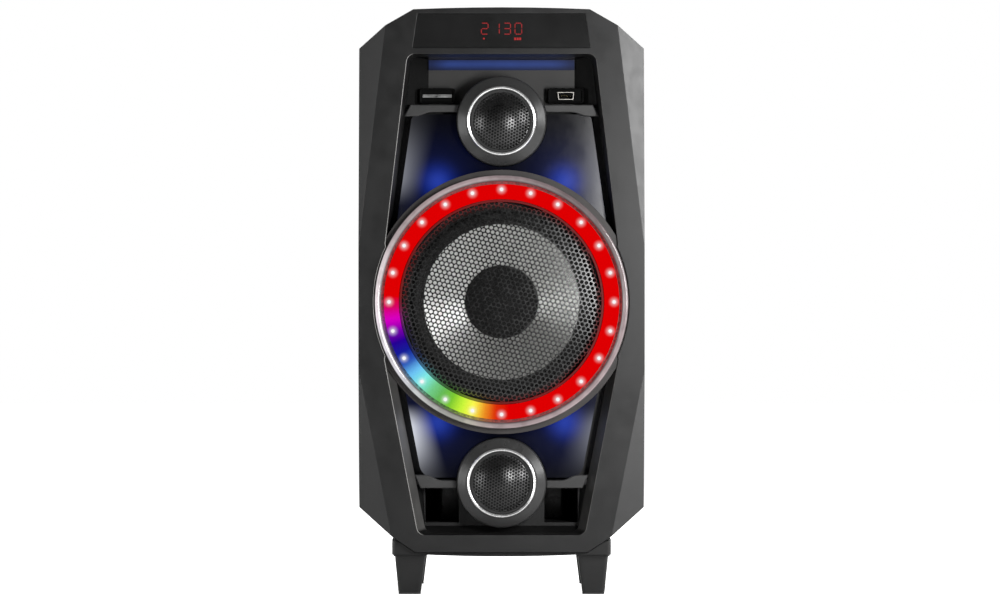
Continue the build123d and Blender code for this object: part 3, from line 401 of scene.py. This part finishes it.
def fascia_black():
    """Moulded black with a painted highlight: a thin glowing line on its rounded bay edges, strongest on
    the left ones.
    """
    # strengths of the painted edge highlight on the left and on the right
    left_line, right_line = 0.5, 0.08
    s, edges = black_surface("fascia_black", SATIN_LEVEL, 0.38)
    place = s.position()
    facing = s.tree.nodes.new("ShaderNodeSeparateXYZ")
    s.link(edges, facing.inputs[0])
    outward = s.math("MULTIPLY", s.math("SIGN", place["X"]), facing.outputs["X"])
    inward = s.remap(outward, -0.30, -0.08, 1, 0)
    forward = s.remap(facing.outputs["Y"], -0.45, -0.25, 1, 0)
    # uneven strength of the painted edge highlight
    highlight_mottle = s.remap(s.noise(40, 4), 0.3, 0.7, 0.7, 1.2)
    side = s.remap(place["X"], -1 * MM, 1 * MM, left_line, right_line)
    window_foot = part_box("display_window")[0].z
    below = s.remap(place["Z"], window_foot - 2 * MM, window_foot - 1 * MM, 1, 0)
    s.glow(WARM_WHITE, s.product(inward, forward, below, side, highlight_mottle))
    return s.material


def vinyl_wrap():
    """Black leather-grain vinyl on the cabinet boards."""
    s = Surface("vinyl_wrap", (0.016, 0.016, 0.017), 0.5)
    pebbles = s.cells(900)
    folds = s.noise(260, 4)
    height = s.math("ADD", s.math("MULTIPLY", pebbles, 0.7), s.math("MULTIPLY", folds, 0.6))
    s.link(s.ramp(pebbles, [(0.0, (0.010, 0.010, 0.011)), (0.6, (0.024, 0.024, 0.025))]),
           s.shader.inputs["Base Color"])
    s.vary(folds, "Roughness", 0.42, 0.6)
    s.bump(height, 0.25 * MM, 0.6, s.rounded(EDGE_RADIUS))
    return s.material


def bright_metal(name, level, roughness, tint=(1, 1, 1), glint=0.0):
    """Plated or polished metal with faint smudges, where glint is the strength of a painted glow that
    stands in for the light it reflects from all round.
    """
    colour = tuple(level * t for t in tint)
    s = Surface(name, colour, roughness, 1.0)
    smears_and_glint = s.noise(140, 6)
    s.vary(smears_and_glint, "Roughness", roughness * 0.7, roughness * 1.6)
    s.bump(s.noise(900, 3), 0.02 * MM, 0.2)
    # painted glint: a glow for reflected light, uneven like the smudges in the roughness
    s.glow(colour, s.remap(smears_and_glint, 0.3, 0.7, glint * 0.6, glint * 1.4))
    return s.material


def mesh_metal(name, level, roughness, spill=0.0):
    """Perforated steel with a thin dark coat, where spill is the strength of a painted glow in the ring's
    colours near its inner edge, standing in for the ring's light falling on the steel.
    """
    s = Surface(name, (level,) * 3, roughness, 1.0)
    s.vary(s.noise(300, 4), "Roughness", roughness - 0.05, roughness + 0.07)
    s.bump(s.noise(3200, 2), 0.03 * MM, 0.3)
    radius, turn = s.polar(WOOFER)
    spill_width = 9 * MM
    # painted spill of the ring's light, strongest at the ring's inner edge
    near = s.remap(radius, LED_INNER - spill_width, LED_INNER, 0, spill, smooth=True)
    s.glow(s.ramp(turn, RING_COLOURS), near)
    return s.material


ACCENT_INSET = (6 * MM, 8 * MM)     # from the accent boards' corners to their lights, across and up
SHEEN_PEAK = 0.42                   # where the painted sheen is strongest, from the ring (0) to the far end (1)
# colour of the painted sheen
PALE_BLUE = (0.90, 0.93, 1.0)


def accent_light(s, upward):
    """Strength of the painted blue glow that stands in for the light of the two LEDs above or below the
    ring.
    """
    low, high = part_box("accent_led_boards")
    across, up = ACCENT_INSET
    light_z = high.z - up if upward else low.z + up
    total = None
    for x in (low.x + across, high.x - across):
        near = s.math("MULTIPLY", s.math("POWER", s.spot(x, light_z, 26 * MM), 1.2), 0.38)
        wide = s.math("MULTIPLY", s.math("POWER", s.spot(x, light_z, 70 * MM), 1.2), 0.17)
        both = s.math("ADD", near, wide)
        total = both if total is None else s.math("ADD", total, both)
    return total


def side_sheen(s, node, far_half, upward, strengths):
    """Strength of the painted sheen, a painted reflection in a band that follows the panel's two slanting
    sides.
    """
    panel_low, panel_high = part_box(node)
    ends = (panel_low.z, panel_high.z) if upward else (panel_high.z, panel_low.z)
    place = s.position()
    along = s.remap(place["Z"], *ends, 0.0, 1.0)
    half = s.remap(along, 0.0, 1.0, panel_high.x, far_half)
    margin = s.math("SUBTRACT", half, s.math("ABSOLUTE", place["X"]))
    width = s.remap(along, 0.0, 1.0, 17 * MM, 24 * MM)
    band = s.math("POWER", s.math("SUBTRACT", 1.0, s.math("DIVIDE", margin, width), clamp=True), 1.5)
    rise = s.remap(along, SHEEN_PEAK - 0.3, SHEEN_PEAK, 0, 1, smooth=True)
    fall = s.remap(along, SHEEN_PEAK, 1.0, 1.0, 0.12, smooth=True)
    side = s.remap(place["X"], -1 * MM, 1 * MM, *strengths)
    return s.product(band, s.math("MULTIPLY", rise, fall), side)


def blue_lit_gloss(node, far_half, sheens):
    """Glossy black panel with a painted blue glow from two lights beside the ring and a painted pale sheen
    along its outer edges.

    far_half is the panel's half width at its end away from the ring, and sheens are the strengths of the
    painted sheen at the left and at the right.
    """
    s = Surface(f"{node}_gloss", (0.003, 0.003, 0.004), 0.2, Specular_IOR_Level=0.12)
    upward = middle(node).z > WOOFER.z
    light = accent_light(s, upward)
    sheen = side_sheen(s, node, far_half, upward, sheens)
    both = s.math("ADD", light, sheen)
    # colours of the painted blue glow, from dim navy to bright blue
    blue = s.ramp(light, [(0.0, (0.006, 0.014, 0.09)), (0.35, (0.014, 0.045, 0.46)),
                          (0.8, (0.05, 0.12, 0.9))])
    # uneven streaks in the painted glow and sheen
    painted_glow_streaks = s.remap(s.noise(9, 2), 0.3, 0.7, 0.88, 1.1)
    s.glow(s.mix(s.math("DIVIDE", sheen, s.math("ADD", both, 0.0001)), blue, PALE_BLUE),
           s.math("MULTIPLY", both, painted_glow_streaks))
    s.vary(s.noise(90, 5), "Roughness", 0.17, 0.24)
    return s.material


def led_band():
    """Diffuser over the LED ring: colour by angle, a white hot spot over each LED."""
    s = Surface("led_band", (0.0, 0.0, 0.0), 0.9, Specular_IOR_Level=0.0)
    radius, turn = s.polar(WOOFER)
    band = s.ramp(turn, RING_COLOURS)
    counted = s.math("ADD", s.math("MULTIPLY", turn, LED_COUNT), 0.5)
    cell = s.math("SUBTRACT", s.math("FRACT", counted), 0.5)
    along = s.math("MULTIPLY", s.math("MULTIPLY", cell, 2 * math.pi / LED_COUNT), radius)
    across = s.math("SUBTRACT", radius, LED_CIRCLE)
    squares = s.math("ADD", s.math("MULTIPLY", along, along), s.math("MULTIPLY", across, across))
    away = s.math("SQRT", squares)
    core = s.remap(away, 0.4 * MM, 2.1 * MM, 1, 0, smooth=True)
    halo = s.math("POWER", s.remap(away, 0.0, 6 * MM, 1, 0, smooth=True), 1.6)
    share = s.math("ADD", core, s.math("MULTIPLY", halo, 0.55), clamp=True)
    mottle = s.remap(s.noise(700, 3), 0.3, 0.7, 0.94, 1.05)
    s.glow(s.mix(share, band, (0.95, 0.95, 0.96)), mottle)
    return s.material


def clear_rim():
    """Clear light guide round the ring: dark at its foot, pale on its crown, brightest at the left."""
    s = Surface("clear_rim", (0.06, 0.045, 0.045), 0.12, Coat_Weight=0.6, Coat_Roughness=0.05)
    radius, turn = s.polar(WOOFER)
    band = s.ramp(turn, RING_COLOURS)
    foot, crown, edge = RIM_OUTER - 5.2 * MM, RIM_OUTER - 3.0 * MM, RIM_OUTER - 0.9 * MM
    across = s.math("MULTIPLY", s.remap(radius, foot, crown, 0.10, 1.0, smooth=True),
                    s.remap(radius, edge, RIM_OUTER, 1.0, 0.12, smooth=True))
    left = s.math("MULTIPLY", s.remap(turn, 0.50, 0.68, 0, 1, smooth=True),
                  s.remap(turn, 0.78, 0.90, 1, 0, smooth=True))
    levels = ((0.0, 0.27), (0.08, 0.13), (0.16, 0.15), (0.25, 0.38), (0.38, 0.40), (0.5, 0.32), (0.6, 0.45),
              (0.67, 0.75), (0.76, 0.86), (0.86, 0.34), (0.94, 0.42), (1.0, 0.27))
    around = s.ramp(turn, [(position, (level,) * 3) for position, level in levels])
    tint = s.mix(s.math("ADD", s.math("MULTIPLY", left, 0.12), 0.78), band, (0.92, 0.90, 0.93))
    threads = s.remap(s.noise(90, 2), 0.35, 0.65, 0.8, 1.15)
    s.glow(tint, s.product(across, around, threads))
    s.vary(s.noise(200, 4), "Roughness", 0.08, 0.16)
    return s.material


def collar_black():
    """Dark collar whose inner lip carries a painted glow in the colour of the lit band, standing in for the
    band's light falling on it.
    """
    s = Surface("collar_black", (0.034, 0.030, 0.029), 0.38)
    radius, turn = s.polar(WOOFER)
    band = s.ramp(turn, RING_COLOURS)
    # painted glow on the lip, broken up into flecks
    lip = s.math("MULTIPLY", s.remap(radius, LED_OUTER - 1 * MM, LED_OUTER, 0, 1),
                 s.remap(radius, LED_OUTER + 2 * MM, LED_OUTER + 3 * MM, 1, 0))
    painted_glow_flecks = s.remap(s.noise(420, 5), 0.4, 0.62, 0.12, 0.42)
    s.glow(s.mix(0.12, band, (0.4, 0.35, 0.36)), s.math("MULTIPLY", lip, painted_glow_flecks))
    s.vary(s.noise(80, 5), "Roughness", 0.32, 0.46)
    s.bump(s.noise(FINE_GRAIN, 2), 0.04 * MM, 0.3)
    return s.material


def pressed_cone():
    """Silver-grey pressed fibre with fine radial and felted texture and a faint painted glow that brightens
    it.
    """
    s = Surface("pressed_cone", (0.8, 0.8, 0.8), 0.34, 0.85)
    turn = s.polar(WOOFER)[1]
    rays = s.tree.nodes.new("ShaderNodeTexNoise")
    rays.noise_dimensions = "1D"
    rays.inputs["Scale"].default_value = 160
    s.link(turn, rays.inputs["W"])
    felt = s.noise(900, 5)
    both = s.math("ADD", s.math("MULTIPLY", rays.outputs["Fac"], 0.5), s.math("MULTIPLY", felt, 0.5))
    colour = s.ramp(both, [(0.3, (0.62, 0.62, 0.61)), (0.7, (0.92, 0.92, 0.90))])
    s.link(colour, s.shader.inputs["Base Color"])
    s.bump(both, 0.2 * MM, 0.4)
    # painted glow: brightens the cone as if more light fell on it through the grille
    s.glow((0.85, 0.84, 0.80), s.remap(both, 0.3, 0.7, 0.05, 0.09))
    return s.material


def felted(name, colour, roughness):
    """Pressed paper or cloth with a fine felted surface."""
    s = Surface(name, colour, roughness)
    felt = s.noise(1400, 5)
    darker, lighter = (tuple(part * share for part in colour) for share in (0.7, 1.4))
    s.link(s.mix(s.remap(felt, 0.35, 0.65, 0, 1), darker, lighter), s.shader.inputs["Base Color"])
    s.bump(felt, 0.15 * MM, 0.5)
    return s.material


def smoked_window():
    """Smoked acrylic over the display."""
    s = Surface("smoked_window", (0.012, 0.012, 0.012), 0.2, Coat_Weight=0.2, Coat_Roughness=0.1)
    s.vary(s.noise(50, 4), "Roughness", 0.17, 0.25)
    return s.material


def bay_liner():
    """Lining of the upper bay: a grey back wall as wide as the light strip, and painted shade beside it
    that makes the side walls deep black with little sheen.
    """
    s = Surface("bay_liner", (0.05, 0.05, 0.05), 0.45)
    aside = s.math("ABSOLUTE", s.position()["X"])
    # 1 on the grey back wall, 0 on the side walls, which get painted shade
    wall = s.remap(aside, STRIP_HIGH.x - 0.2 * MM, STRIP_HIGH.x + 0.4 * MM, 1.0, 0.0)
    cloud = s.remap(s.noise(25, 4), 0.3, 0.7, 0.85, 1.15)
    colour = s.mix(s.math("MULTIPLY", wall, cloud), (0.004, 0.004, 0.004), (0.027, 0.026, 0.025))
    s.link(colour, s.shader.inputs["Base Color"])
    s.link(s.remap(wall, 0, 1, 0.05, 0.5), s.shader.inputs["Specular IOR Level"])
    s.vary(s.noise(60, 5), "Roughness", 0.4, 0.5)
    s.bump(s.noise(FINE_GRAIN, 2), 0.05 * MM, 0.3)
    return s.material


def lit_segment():
    """Red display segments with a slightly uneven glow."""
    s = Surface("lit_segment", (0.05, 0.0, 0.0), 0.4)
    s.glow(screen(226, 14, 20), s.remap(s.noise(1500, 2), 0.3, 0.7, 0.36, 0.64))
    return s.material


def blue_strip():
    """Diffuser of the blue strip light, brightest a little above its middle and dim at both ends."""
    s = Surface("blue_strip", (0.006, 0.009, 0.03), 0.4, Specular_IOR_Level=0.2)
    place = s.position()
    brightest = STRIP_LOW.z + (STRIP_HIGH.z - STRIP_LOW.z) * 0.6
    below = s.remap(place["Z"], STRIP_LOW.z, brightest, 0.2, 1, smooth=True)
    above = s.remap(place["Z"], brightest, STRIP_HIGH.z, 1, 0.55, smooth=True)
    fade = (STRIP_HIGH.x - STRIP_LOW.x) * 0.16
    left = s.remap(place["X"], STRIP_LOW.x, STRIP_LOW.x + fade, 0.25, 1, smooth=True)
    right = s.remap(place["X"], STRIP_HIGH.x - fade, STRIP_HIGH.x, 1, 0.25, smooth=True)
    mottle = s.remap(s.noise(60, 2), 0.3, 0.7, 0.8, 1.0)
    s.glow(screen(35, 57, 118), s.product(below, above, left, right, mottle))
    return s.material


def circuit_board():
    """Green solder mask with a pattern of tracks."""
    s = Surface("circuit_board", (0.01, 0.07, 0.03), 0.35)
    traces = s.cells(220, "DISTANCE_TO_EDGE")
    colour = s.ramp(traces, [(0.0, (0.02, 0.12, 0.05)), (0.06, (0.008, 0.05, 0.022))], "CONSTANT")
    s.link(colour, s.shader.inputs["Base Color"])
    s.vary(s.noise(200, 3), "Roughness", 0.28, 0.45)
    return s.material


SATIN_LEVEL = 0.008
SATIN = moulded_black("satin_black", SATIN_LEVEL, 0.38)
FASCIA = fascia_black()
DARK = moulded_black("deep_black", 0.004, 0.55)
SOCKET = moulded_black("socket_black", 0.002, 0.5, specular=0.06)
LINER = bay_liner()
TRIM = moulded_black("trim_satin", 0.047, 0.36)
HOUSING = moulded_black("housing_satin", 0.038, 0.30)
RUBBER = moulded_black("rubber_black", 0.016, 0.75, 900)
VINYL = vinyl_wrap()
# glint: a painted glow standing in for reflected studio light
CHROME = bright_metal("chrome", 0.86, 0.22, glint=0.22)
SOCKET_METAL = bright_metal("socket_metal", 0.42, 0.35, tint=(1, 0.96, 0.9), glint=0.16)
CARD_METAL = bright_metal("card_metal", 0.4, 0.35, glint=0.22)
STEEL = bright_metal("steel", 0.45, 0.3)
COPPER = bright_metal("copper", 0.6, 0.35, (1.0, 0.55, 0.35))
ALUMINIUM = bright_metal("aluminium", 0.6, 0.32)
GOLD = bright_metal("contact_gold", 0.7, 0.25, (1.0, 0.8, 0.4))
# the last value is the strength of the painted spill of the ring's light
WOOFER_MESH = mesh_metal("woofer_mesh", 0.075, 0.24, 0.22)
TWEETER_MESH = mesh_metal("tweeter_mesh", 0.085, 0.33)
GRILLE_RIM = mesh_metal("grille_rim", 0.02, 0.45, 0.22)
TWEETER_RIM = moulded_black("tweeter_mesh_rim", 0.006, 0.5)
# the reflectors' blue glow and sheens are painted light
UPPER_GLOSS = blue_lit_gloss("upper_reflector", far_half=75.4 * MM, sheens=(0.20, 0.03))
LOWER_GLOSS = blue_lit_gloss("lower_reflector", far_half=67.2 * MM, sheens=(0.75, 0.16))
LED_BAND = led_band()
RIM = clear_rim()
COLLAR = collar_black()
CONE = pressed_cone()
CAP = felted("dust_cap_black", (0.007, 0.007, 0.007), 0.8)
SPIDER = felted("spider_cloth", (0.35, 0.22, 0.09), 0.9)
FERRITE = felted("ferrite_black", (0.05, 0.05, 0.052), 0.6)
WINDOW = smoked_window()
SEGMENT = lit_segment()
STRIP = blue_strip()
BOARD = circuit_board()
BATTERY = moulded_black("battery_wrap", 0.03, 0.3)
LED_WHITE = felted("led_package", (0.8, 0.8, 0.7), 0.4)

CAD_MATERIALS = {
    "front_fascia": FASCIA, "cabinet_shell": VINYL, "rear_panel": VINYL, "front_baffle": DARK,
    "base_plinth": SATIN, "feet": SATIN, "foot_pads": RUBBER, "display_window": WINDOW,
    "display_module": DARK, "light_strip_diffuser": STRIP, "upper_bay_liner": LINER,
    "lower_bay_liner": DARK, "sd_card_slot": SOCKET, "usb_port": SOCKET, "upper_trim_bars": TRIM,
    "lower_trim_bars": TRIM,
    "upper_reflector": UPPER_GLOSS, "lower_reflector": LOWER_GLOSS, "accent_led_boards": BOARD,
    "upper_tweeter_housing": HOUSING, "lower_tweeter_housing": HOUSING, "upper_tweeter_ring": CHROME,
    "lower_tweeter_ring": CHROME, "upper_tweeter_dome": CAP, "lower_tweeter_dome": CAP,
    "upper_tweeter_motor": DARK, "lower_tweeter_motor": DARK, "ring_collar": COLLAR,
    "rim_light_guide": RIM, "ring_diffuser": LED_BAND, "ring_board": BOARD, "ring_leds": LED_WHITE,
    "woofer_basket": SATIN, "woofer_cone": CONE, "woofer_dust_cap": CAP, "woofer_voice_coil": COPPER,
    "woofer_spider": SPIDER, "woofer_magnet": FERRITE, "woofer_plates": STEEL, "port_ducts": DARK,
    "control_panel": SATIN, "control_board": BOARD, "volume_knob": HOUSING, "mic_knob": HOUSING,
    "echo_knob": HOUSING, "button_play": RUBBER, "button_previous": RUBBER, "button_next": RUBBER,
    "button_mode": RUBBER, "amplifier_board": BOARD, "heat_sink": ALUMINIUM, "battery_pack": BATTERY,
    "rear_jack_plate": SATIN, "mic_jacks": SATIN, "power_rocker": RUBBER, "cabinet_screws": STEEL,
}
for node, finish in CAD_MATERIALS.items():
    NODES[node].data.materials.clear()
    NODES[node].data.materials.append(finish)


# ---------------------------------------------------------------- perforated grilles
def woofer_grille():
    """Domed perforated sheet in front of the woofer, held by a flat rim."""
    low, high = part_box("woofer_grille")
    outer = LED_INNER / MM
    sheet = 0.9
    front, back = high.y / MM - sheet, high.y / MM
    depth = domed(apex=low.y / MM, dome=outer - 5.9, edge=front)
    verts, faces = perforated_sheet(WOOFER, limit=outer - 0.6, pitch=4.0, hole=1.58, depth=depth,
                                    thickness=sheet * 0.8, twist=-12.6)
    mesh = add_piece("woofer_mesh_grille", verts, faces, WOOFER_MESH, replaces=("woofer_grille",))
    smooth_by_angle(mesh, SHEET_SHARP)
    inner, chamfer = outer - 2.0, 0.4
    lathe("woofer_grille_rim", WOOFER,
          [(inner, front), (inner + chamfer, front - 0.3), (outer - chamfer, front - 0.3), (outer, front),
           (outer, back), (inner, back)], GRILLE_RIM)


def tweeter_grille(name, place):
    """Small domed perforated sheet in front of a tweeter, with its own rim."""
    low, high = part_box(f"{name}_tweeter_grille")
    outer = half_width(f"{name}_tweeter_grille") / MM
    rim = 0.6
    front, back = high.y / MM - rim, high.y / MM
    depth = domed(apex=low.y / MM, dome=23.0, edge=front)
    verts, faces = perforated_sheet(place, limit=outer - 0.2, pitch=2.65, hole=0.98, depth=depth,
                                    thickness=0.5, twist=26)
    mesh = add_piece(f"{name}_tweeter_mesh", verts, faces, TWEETER_MESH,
                     replaces=(f"{name}_tweeter_grille",))
    smooth_by_angle(mesh, SHEET_SHARP)
    inner = outer - 2.6
    lathe(f"{name}_tweeter_mesh_rim", place,
          [(inner, front - 0.1), (inner + 0.4, front - 0.5), (outer - 0.1, front - 0.5), (outer, front),
           (outer, back), (inner, back)], TWEETER_RIM)


woofer_grille()
for name, place in TWEETERS.items():
    tweeter_grille(name, place)


# ---------------------------------------------------------------- surround roll round the cone
def stretch_between(piece):
    """Bake a ring's placement into its mesh."""
    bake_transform(piece)


def roll_surround():
    """Half-round rubber roll between the cone's edge and the basket."""
    cone_edge, glue_lip, film, roll = 65.7, 2.9, 0.8, 4.0
    outer = half_width("woofer_surround") / MM
    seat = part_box("woofer_surround")[1].y / MM
    roll_start = cone_edge + glue_lip
    roll_middle, roll_end = roll_start + roll, roll_start + 2 * roll
    profile = ([(cone_edge, seat), (cone_edge, seat - film)]
               + arc_points((roll_middle, seat - film), roll, 180, 360, 16)
               + [(outer, seat - film), (outer, seat)]
               + arc_points((roll_middle, seat), roll - film, 360, 180, 16))
    surround = lathe("woofer_roll_surround", WOOFER, profile, RUBBER, body=None,
                     replaces=("woofer_surround",))
    stretch_between(surround)


roll_surround()


# ---------------------------------------------------------------- display digits and icons
def plate(verts, faces, low, high, front, thickness):
    """Add a thin front-facing box between two (x, z) corners in millimetres."""
    start = len(verts)
    for y in (front, front + thickness):
        for x, z in ((low[0], low[1]), (high[0], low[1]), (high[0], high[1]), (low[0], high[1])):
            verts.append((x * MM, y * MM, z * MM))
    for quad in ((0, 1, 2, 3), (7, 6, 5, 4), (0, 4, 5, 1), (1, 5, 6, 2), (2, 6, 7, 3), (3, 7, 4, 0)):
        faces.append([start + corner for corner in quad])


DIGITS = "2130"
SEGMENTS = {"0": "abcdef", "1": "bc", "2": "abged", "3": "abgcd"}
DIGIT_WIDTH, DIGIT_HEIGHT, DIGIT_PITCH = 5.6, 9.2, 9.4
STROKE = 0.75
SEGMENT_GAP = 0.5
DASHES = 3
DASH_MARGIN = 0.12                  # bare share of each dash's length at both of its ends
LIT_THICKNESS = 0.06


def segment_lines(left, foot):
    """The middle line of each of a digit's seven segments, a to g."""
    right, waist, top = left + DIGIT_WIDTH, foot + DIGIT_HEIGHT / 2, foot + DIGIT_HEIGHT
    gap = SEGMENT_GAP
    return {
        "a": ((left + gap, top), (right - gap, top)),
        "b": ((right, waist + gap), (right, top - gap)),
        "c": ((right, foot + gap), (right, waist - gap)),
        "d": ((left + gap, foot), (right - gap, foot)),
        "e": ((left, foot + gap), (left, waist - gap)),
        "f": ((left, waist + gap), (left, top - gap)),
        "g": ((left + gap, waist), (right - gap, waist)),
    }


def dashes(verts, faces, start, end, front):
    """One display segment as a row of short dashes between two (x, z) points."""
    flat = start[1] == end[1]
    half_x, half_z = (0, STROKE / 2) if flat else (STROKE / 2, 0)
    for index in range(DASHES):
        a, b = (index + DASH_MARGIN) / DASHES, (index + 1 - DASH_MARGIN) / DASHES
        p = [start[axis] + (end[axis] - start[axis]) * a for axis in (0, 1)]
        q = [start[axis] + (end[axis] - start[axis]) * b for axis in (0, 1)]
        plate(verts, faces, (p[0] - half_x, p[1] - half_z), (q[0] + half_x, q[1] + half_z), front,
              LIT_THICKNESS)


def display_digits():
    """Four digits, with three bars and a dot below them, on the display window's face."""
    low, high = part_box("display_window")
    front = low.y / MM - 0.04
    foot = (low.z + high.z) / 2 / MM - 3.0
    verts, faces = [], []
    for place, digit in enumerate(DIGITS):
        left = (place - len(DIGITS) / 2) * DIGIT_PITCH + (DIGIT_PITCH - DIGIT_WIDTH) / 2
        lines = segment_lines(left, foot)
        for segment in SEGMENTS[digit]:
            dashes(verts, faces, *lines[segment], front)
    bar_width, bar_height, bar_pitch, first_bar = 1.6, 2.1, 2.1, 10.6
    bar_foot = foot - 5.0
    for bar in range(3):
        left = first_bar + bar * bar_pitch
        plate(verts, faces, (left, bar_foot), (left + bar_width, bar_foot + bar_height), front,
              LIT_THICKNESS)
    dot_left, dot_foot, dot_width, dot_height = -15.5, foot - 4.4, 1.4, 1.3
    plate(verts, faces, (dot_left, dot_foot), (dot_left + dot_width, dot_foot + dot_height), front,
          LIT_THICKNESS)
    add_piece("display_digits", verts, faces, SEGMENT, smooth=False)


display_digits()


# ---------------------------------------------------------------- metal of the card slot and the USB socket
def socket_place(node):
    """Middle x and z and the front y of a socket's block, in millimetres."""
    centre = middle(node)
    return centre.x / MM, centre.z / MM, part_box(node)[0].y / MM


def tapered_outline(half_top, half_bottom, half_height):
    """Corners of the USB shell's section, wider at its top."""
    return [(-half_top, half_height), (half_top, half_height), (half_bottom, -half_height),
            (-half_bottom, -half_height)]


def usb_socket():
    """Tapered metal shell with a pale tongue and four gold contacts inside."""
    x0, z0, front = socket_place("usb_port")
    wall, proud, length = 0.6, 0.1, 5.0
    half_top, half_bottom, half_height = 6.9, 6.3, 3.2
    outer = tapered_outline(half_top, half_bottom, half_height)
    inner = tapered_outline(half_top - wall, half_bottom - wall, half_height - wall)
    verts, faces = [], []
    for ring in (outer, inner):
        for depth in (-proud, length):
            verts += [((x0 + x) * MM, (front + depth) * MM, (z0 + z) * MM) for x, z in ring]
    for side in range(4):
        after = (side + 1) % 4
        faces.append([side, after, 8 + after, 8 + side])
        faces.append([side, 4 + side, 4 + after, after])
        faces.append([8 + side, 8 + after, 12 + after, 12 + side])
        faces.append([4 + side, 12 + side, 12 + after, 4 + after])
    add_piece("usb_shell", verts, faces, SOCKET_METAL, smooth=False)

    tongue_half, tongue_foot, tongue_top = 5.2, 0.1, 1.7
    verts, faces = [], []
    plate(verts, faces, (x0 - tongue_half, z0 + tongue_foot), (x0 + tongue_half, z0 + tongue_top),
          front + 0.5, 4.0)
    add_piece("usb_tongue", verts, faces, LED_WHITE, smooth=False)

    contact_half, contact_thickness = 0.5, 0.2
    verts, faces = [], []
    for contact in (-3.5, -1.0, 1.0, 3.5):
        left, foot = x0 + contact - contact_half, z0 - contact_thickness / 2
        plate(verts, faces, (left, foot), (left + 2 * contact_half, foot + contact_thickness),
              front + 0.6, 3.5)
    add_piece("usb_contacts", verts, faces, GOLD, smooth=False)


def card_slot():
    """Metal mouth of the card slot: an upper lip, a lower lip and the tray between them."""
    x0, z0, front = socket_place("sd_card_slot")
    half, length = 12.2, 5.0
    upper_lip, lower_lip, tray = (0.5, 1.1, 1.2), (-1.1, -0.7, 1.4), (-0.7, -0.2, 2.4)
    verts, faces = [], []
    for foot, top, setback in (upper_lip, lower_lip, tray):
        plate(verts, faces, (x0 - half, z0 + foot), (x0 + half, z0 + top), front + setback, length)
    add_piece("card_slot_metal", verts, faces, CARD_METAL, smooth=False)


usb_socket()
card_slot()


# ---------------------------------------------------------------- staging
scene = bpy.context.scene
scene.view_settings.view_transform = "Standard"
PAPER_WHITE = 1.0                   # how bright the floor and the backdrop are to the camera
FLOOR_SPILL, ROOM_LIGHT = 0.02, 0.025


def pale_floor(reach=8.0):
    """A wide pale floor that lights the object only a little."""
    corners = [(-reach, -reach, 0), (reach, -reach, 0), (reach, reach, 0), (-reach, reach, 0)]
    mesh = bpy.data.meshes.new("floor")
    mesh.from_pydata(corners, [], [(0, 1, 2, 3)])
    floor = bpy.data.objects.new("floor", mesh)
    scene.collection.objects.link(floor)
    s = Surface("floor_pale", (0.9, 0.9, 0.9), 0.9)
    seen = s.tree.nodes.new("ShaderNodeLightPath").outputs["Is Camera Ray"]
    s.glow((1, 1, 1), s.remap(seen, 0, 1, FLOOR_SPILL, PAPER_WHITE))
    mesh.materials.append(s.material)


def studio_world():
    """White backdrop for the camera, dim light from all round for the object."""
    world = bpy.data.worlds.new("studio")
    world.use_nodes = True
    nodes, links = world.node_tree.nodes, world.node_tree.links
    background = nodes["Background"]
    background.inputs["Color"].default_value = (1, 1, 1, 1)
    path = nodes.new("ShaderNodeLightPath")
    level = nodes.new("ShaderNodeMapRange")
    level.inputs["To Min"].default_value = ROOM_LIGHT
    level.inputs["To Max"].default_value = PAPER_WHITE
    links.new(path.outputs["Is Camera Ray"], level.inputs["Value"])
    links.new(level.outputs["Result"], background.inputs["Strength"])
    scene.world = world


def softbox(name, place, target, width, height, power):
    """A rectangular lamp at a place, aimed at a target, with its power in watts."""
    data = bpy.data.lights.new(name, "AREA")
    data.shape = "RECTANGLE"
    data.size = width
    data.size_y = height
    data.energy = power
    lamp = bpy.data.objects.new(name, data)
    scene.collection.objects.link(lamp)
    lamp.location = place
    lamp.visible_camera = False
    lamp.rotation_mode = "QUATERNION"
    lamp.rotation_quaternion = (Vector(target) - Vector(place)).to_track_quat("-Z", "Y")


pale_floor()
studio_world()
HEART = (0, 0, 0.25)
softbox("right_side", (1.5, 0.16, 0.42), HEART, 0.6, 1.2, 20)
softbox("left_side", (-1.6, -0.15, 0.40), HEART, 0.5, 1.2, 6)
softbox("right_wide", (1.45, -1.0, 0.66), HEART, 0.4, 0.6, 12)
softbox("left_wide", (-1.45, -1.0, 0.28), HEART, 0.35, 0.7, 6.5)
softbox("right_near", (0.31, -0.78, 0.34), (0.08, -0.1, 0.30), 0.07, 0.24, 3.6)
softbox("left_near", (-0.31, -0.78, 0.26), (-0.08, -0.1, 0.26), 0.07, 0.24, 0.15)
softbox("rear_left", (-1.0, 1.7, 0.7), HEART, 0.8, 1.0, 14)
softbox("rear_right", (1.0, 1.7, 0.5), HEART, 0.8, 1.0, 9)
softbox("top_rear", (0.1, 0.7, 1.9), (0, 0.05, 0.46), 0.7, 0.5, 12)

DISTANCE = 4.4                      # camera to the front face
PICTURE_HEIGHT = 503.0 * MM         # height of the view at the front face
SENSOR_WIDTH = 36.0
SENSOR_HEIGHT = SENSOR_WIDTH * 0.6
CAMERA_SIDE, CAMERA_HEIGHT = -1.3 * MM, 247.6 * MM
FRONT = cad_low.y + 5 * MM          # the fascia's face, behind the ring's rim
camera_data = bpy.data.cameras.new("camera")
camera_data.sensor_width = SENSOR_WIDTH
camera_data.lens = SENSOR_HEIGHT * DISTANCE / PICTURE_HEIGHT
camera_data.clip_end = 50
camera = bpy.data.objects.new("camera", camera_data)
camera.location = (CAMERA_SIDE, FRONT - DISTANCE, CAMERA_HEIGHT)
camera.rotation_euler = (math.radians(90), 0, 0)
scene.collection.objects.link(camera)
scene.camera = camera
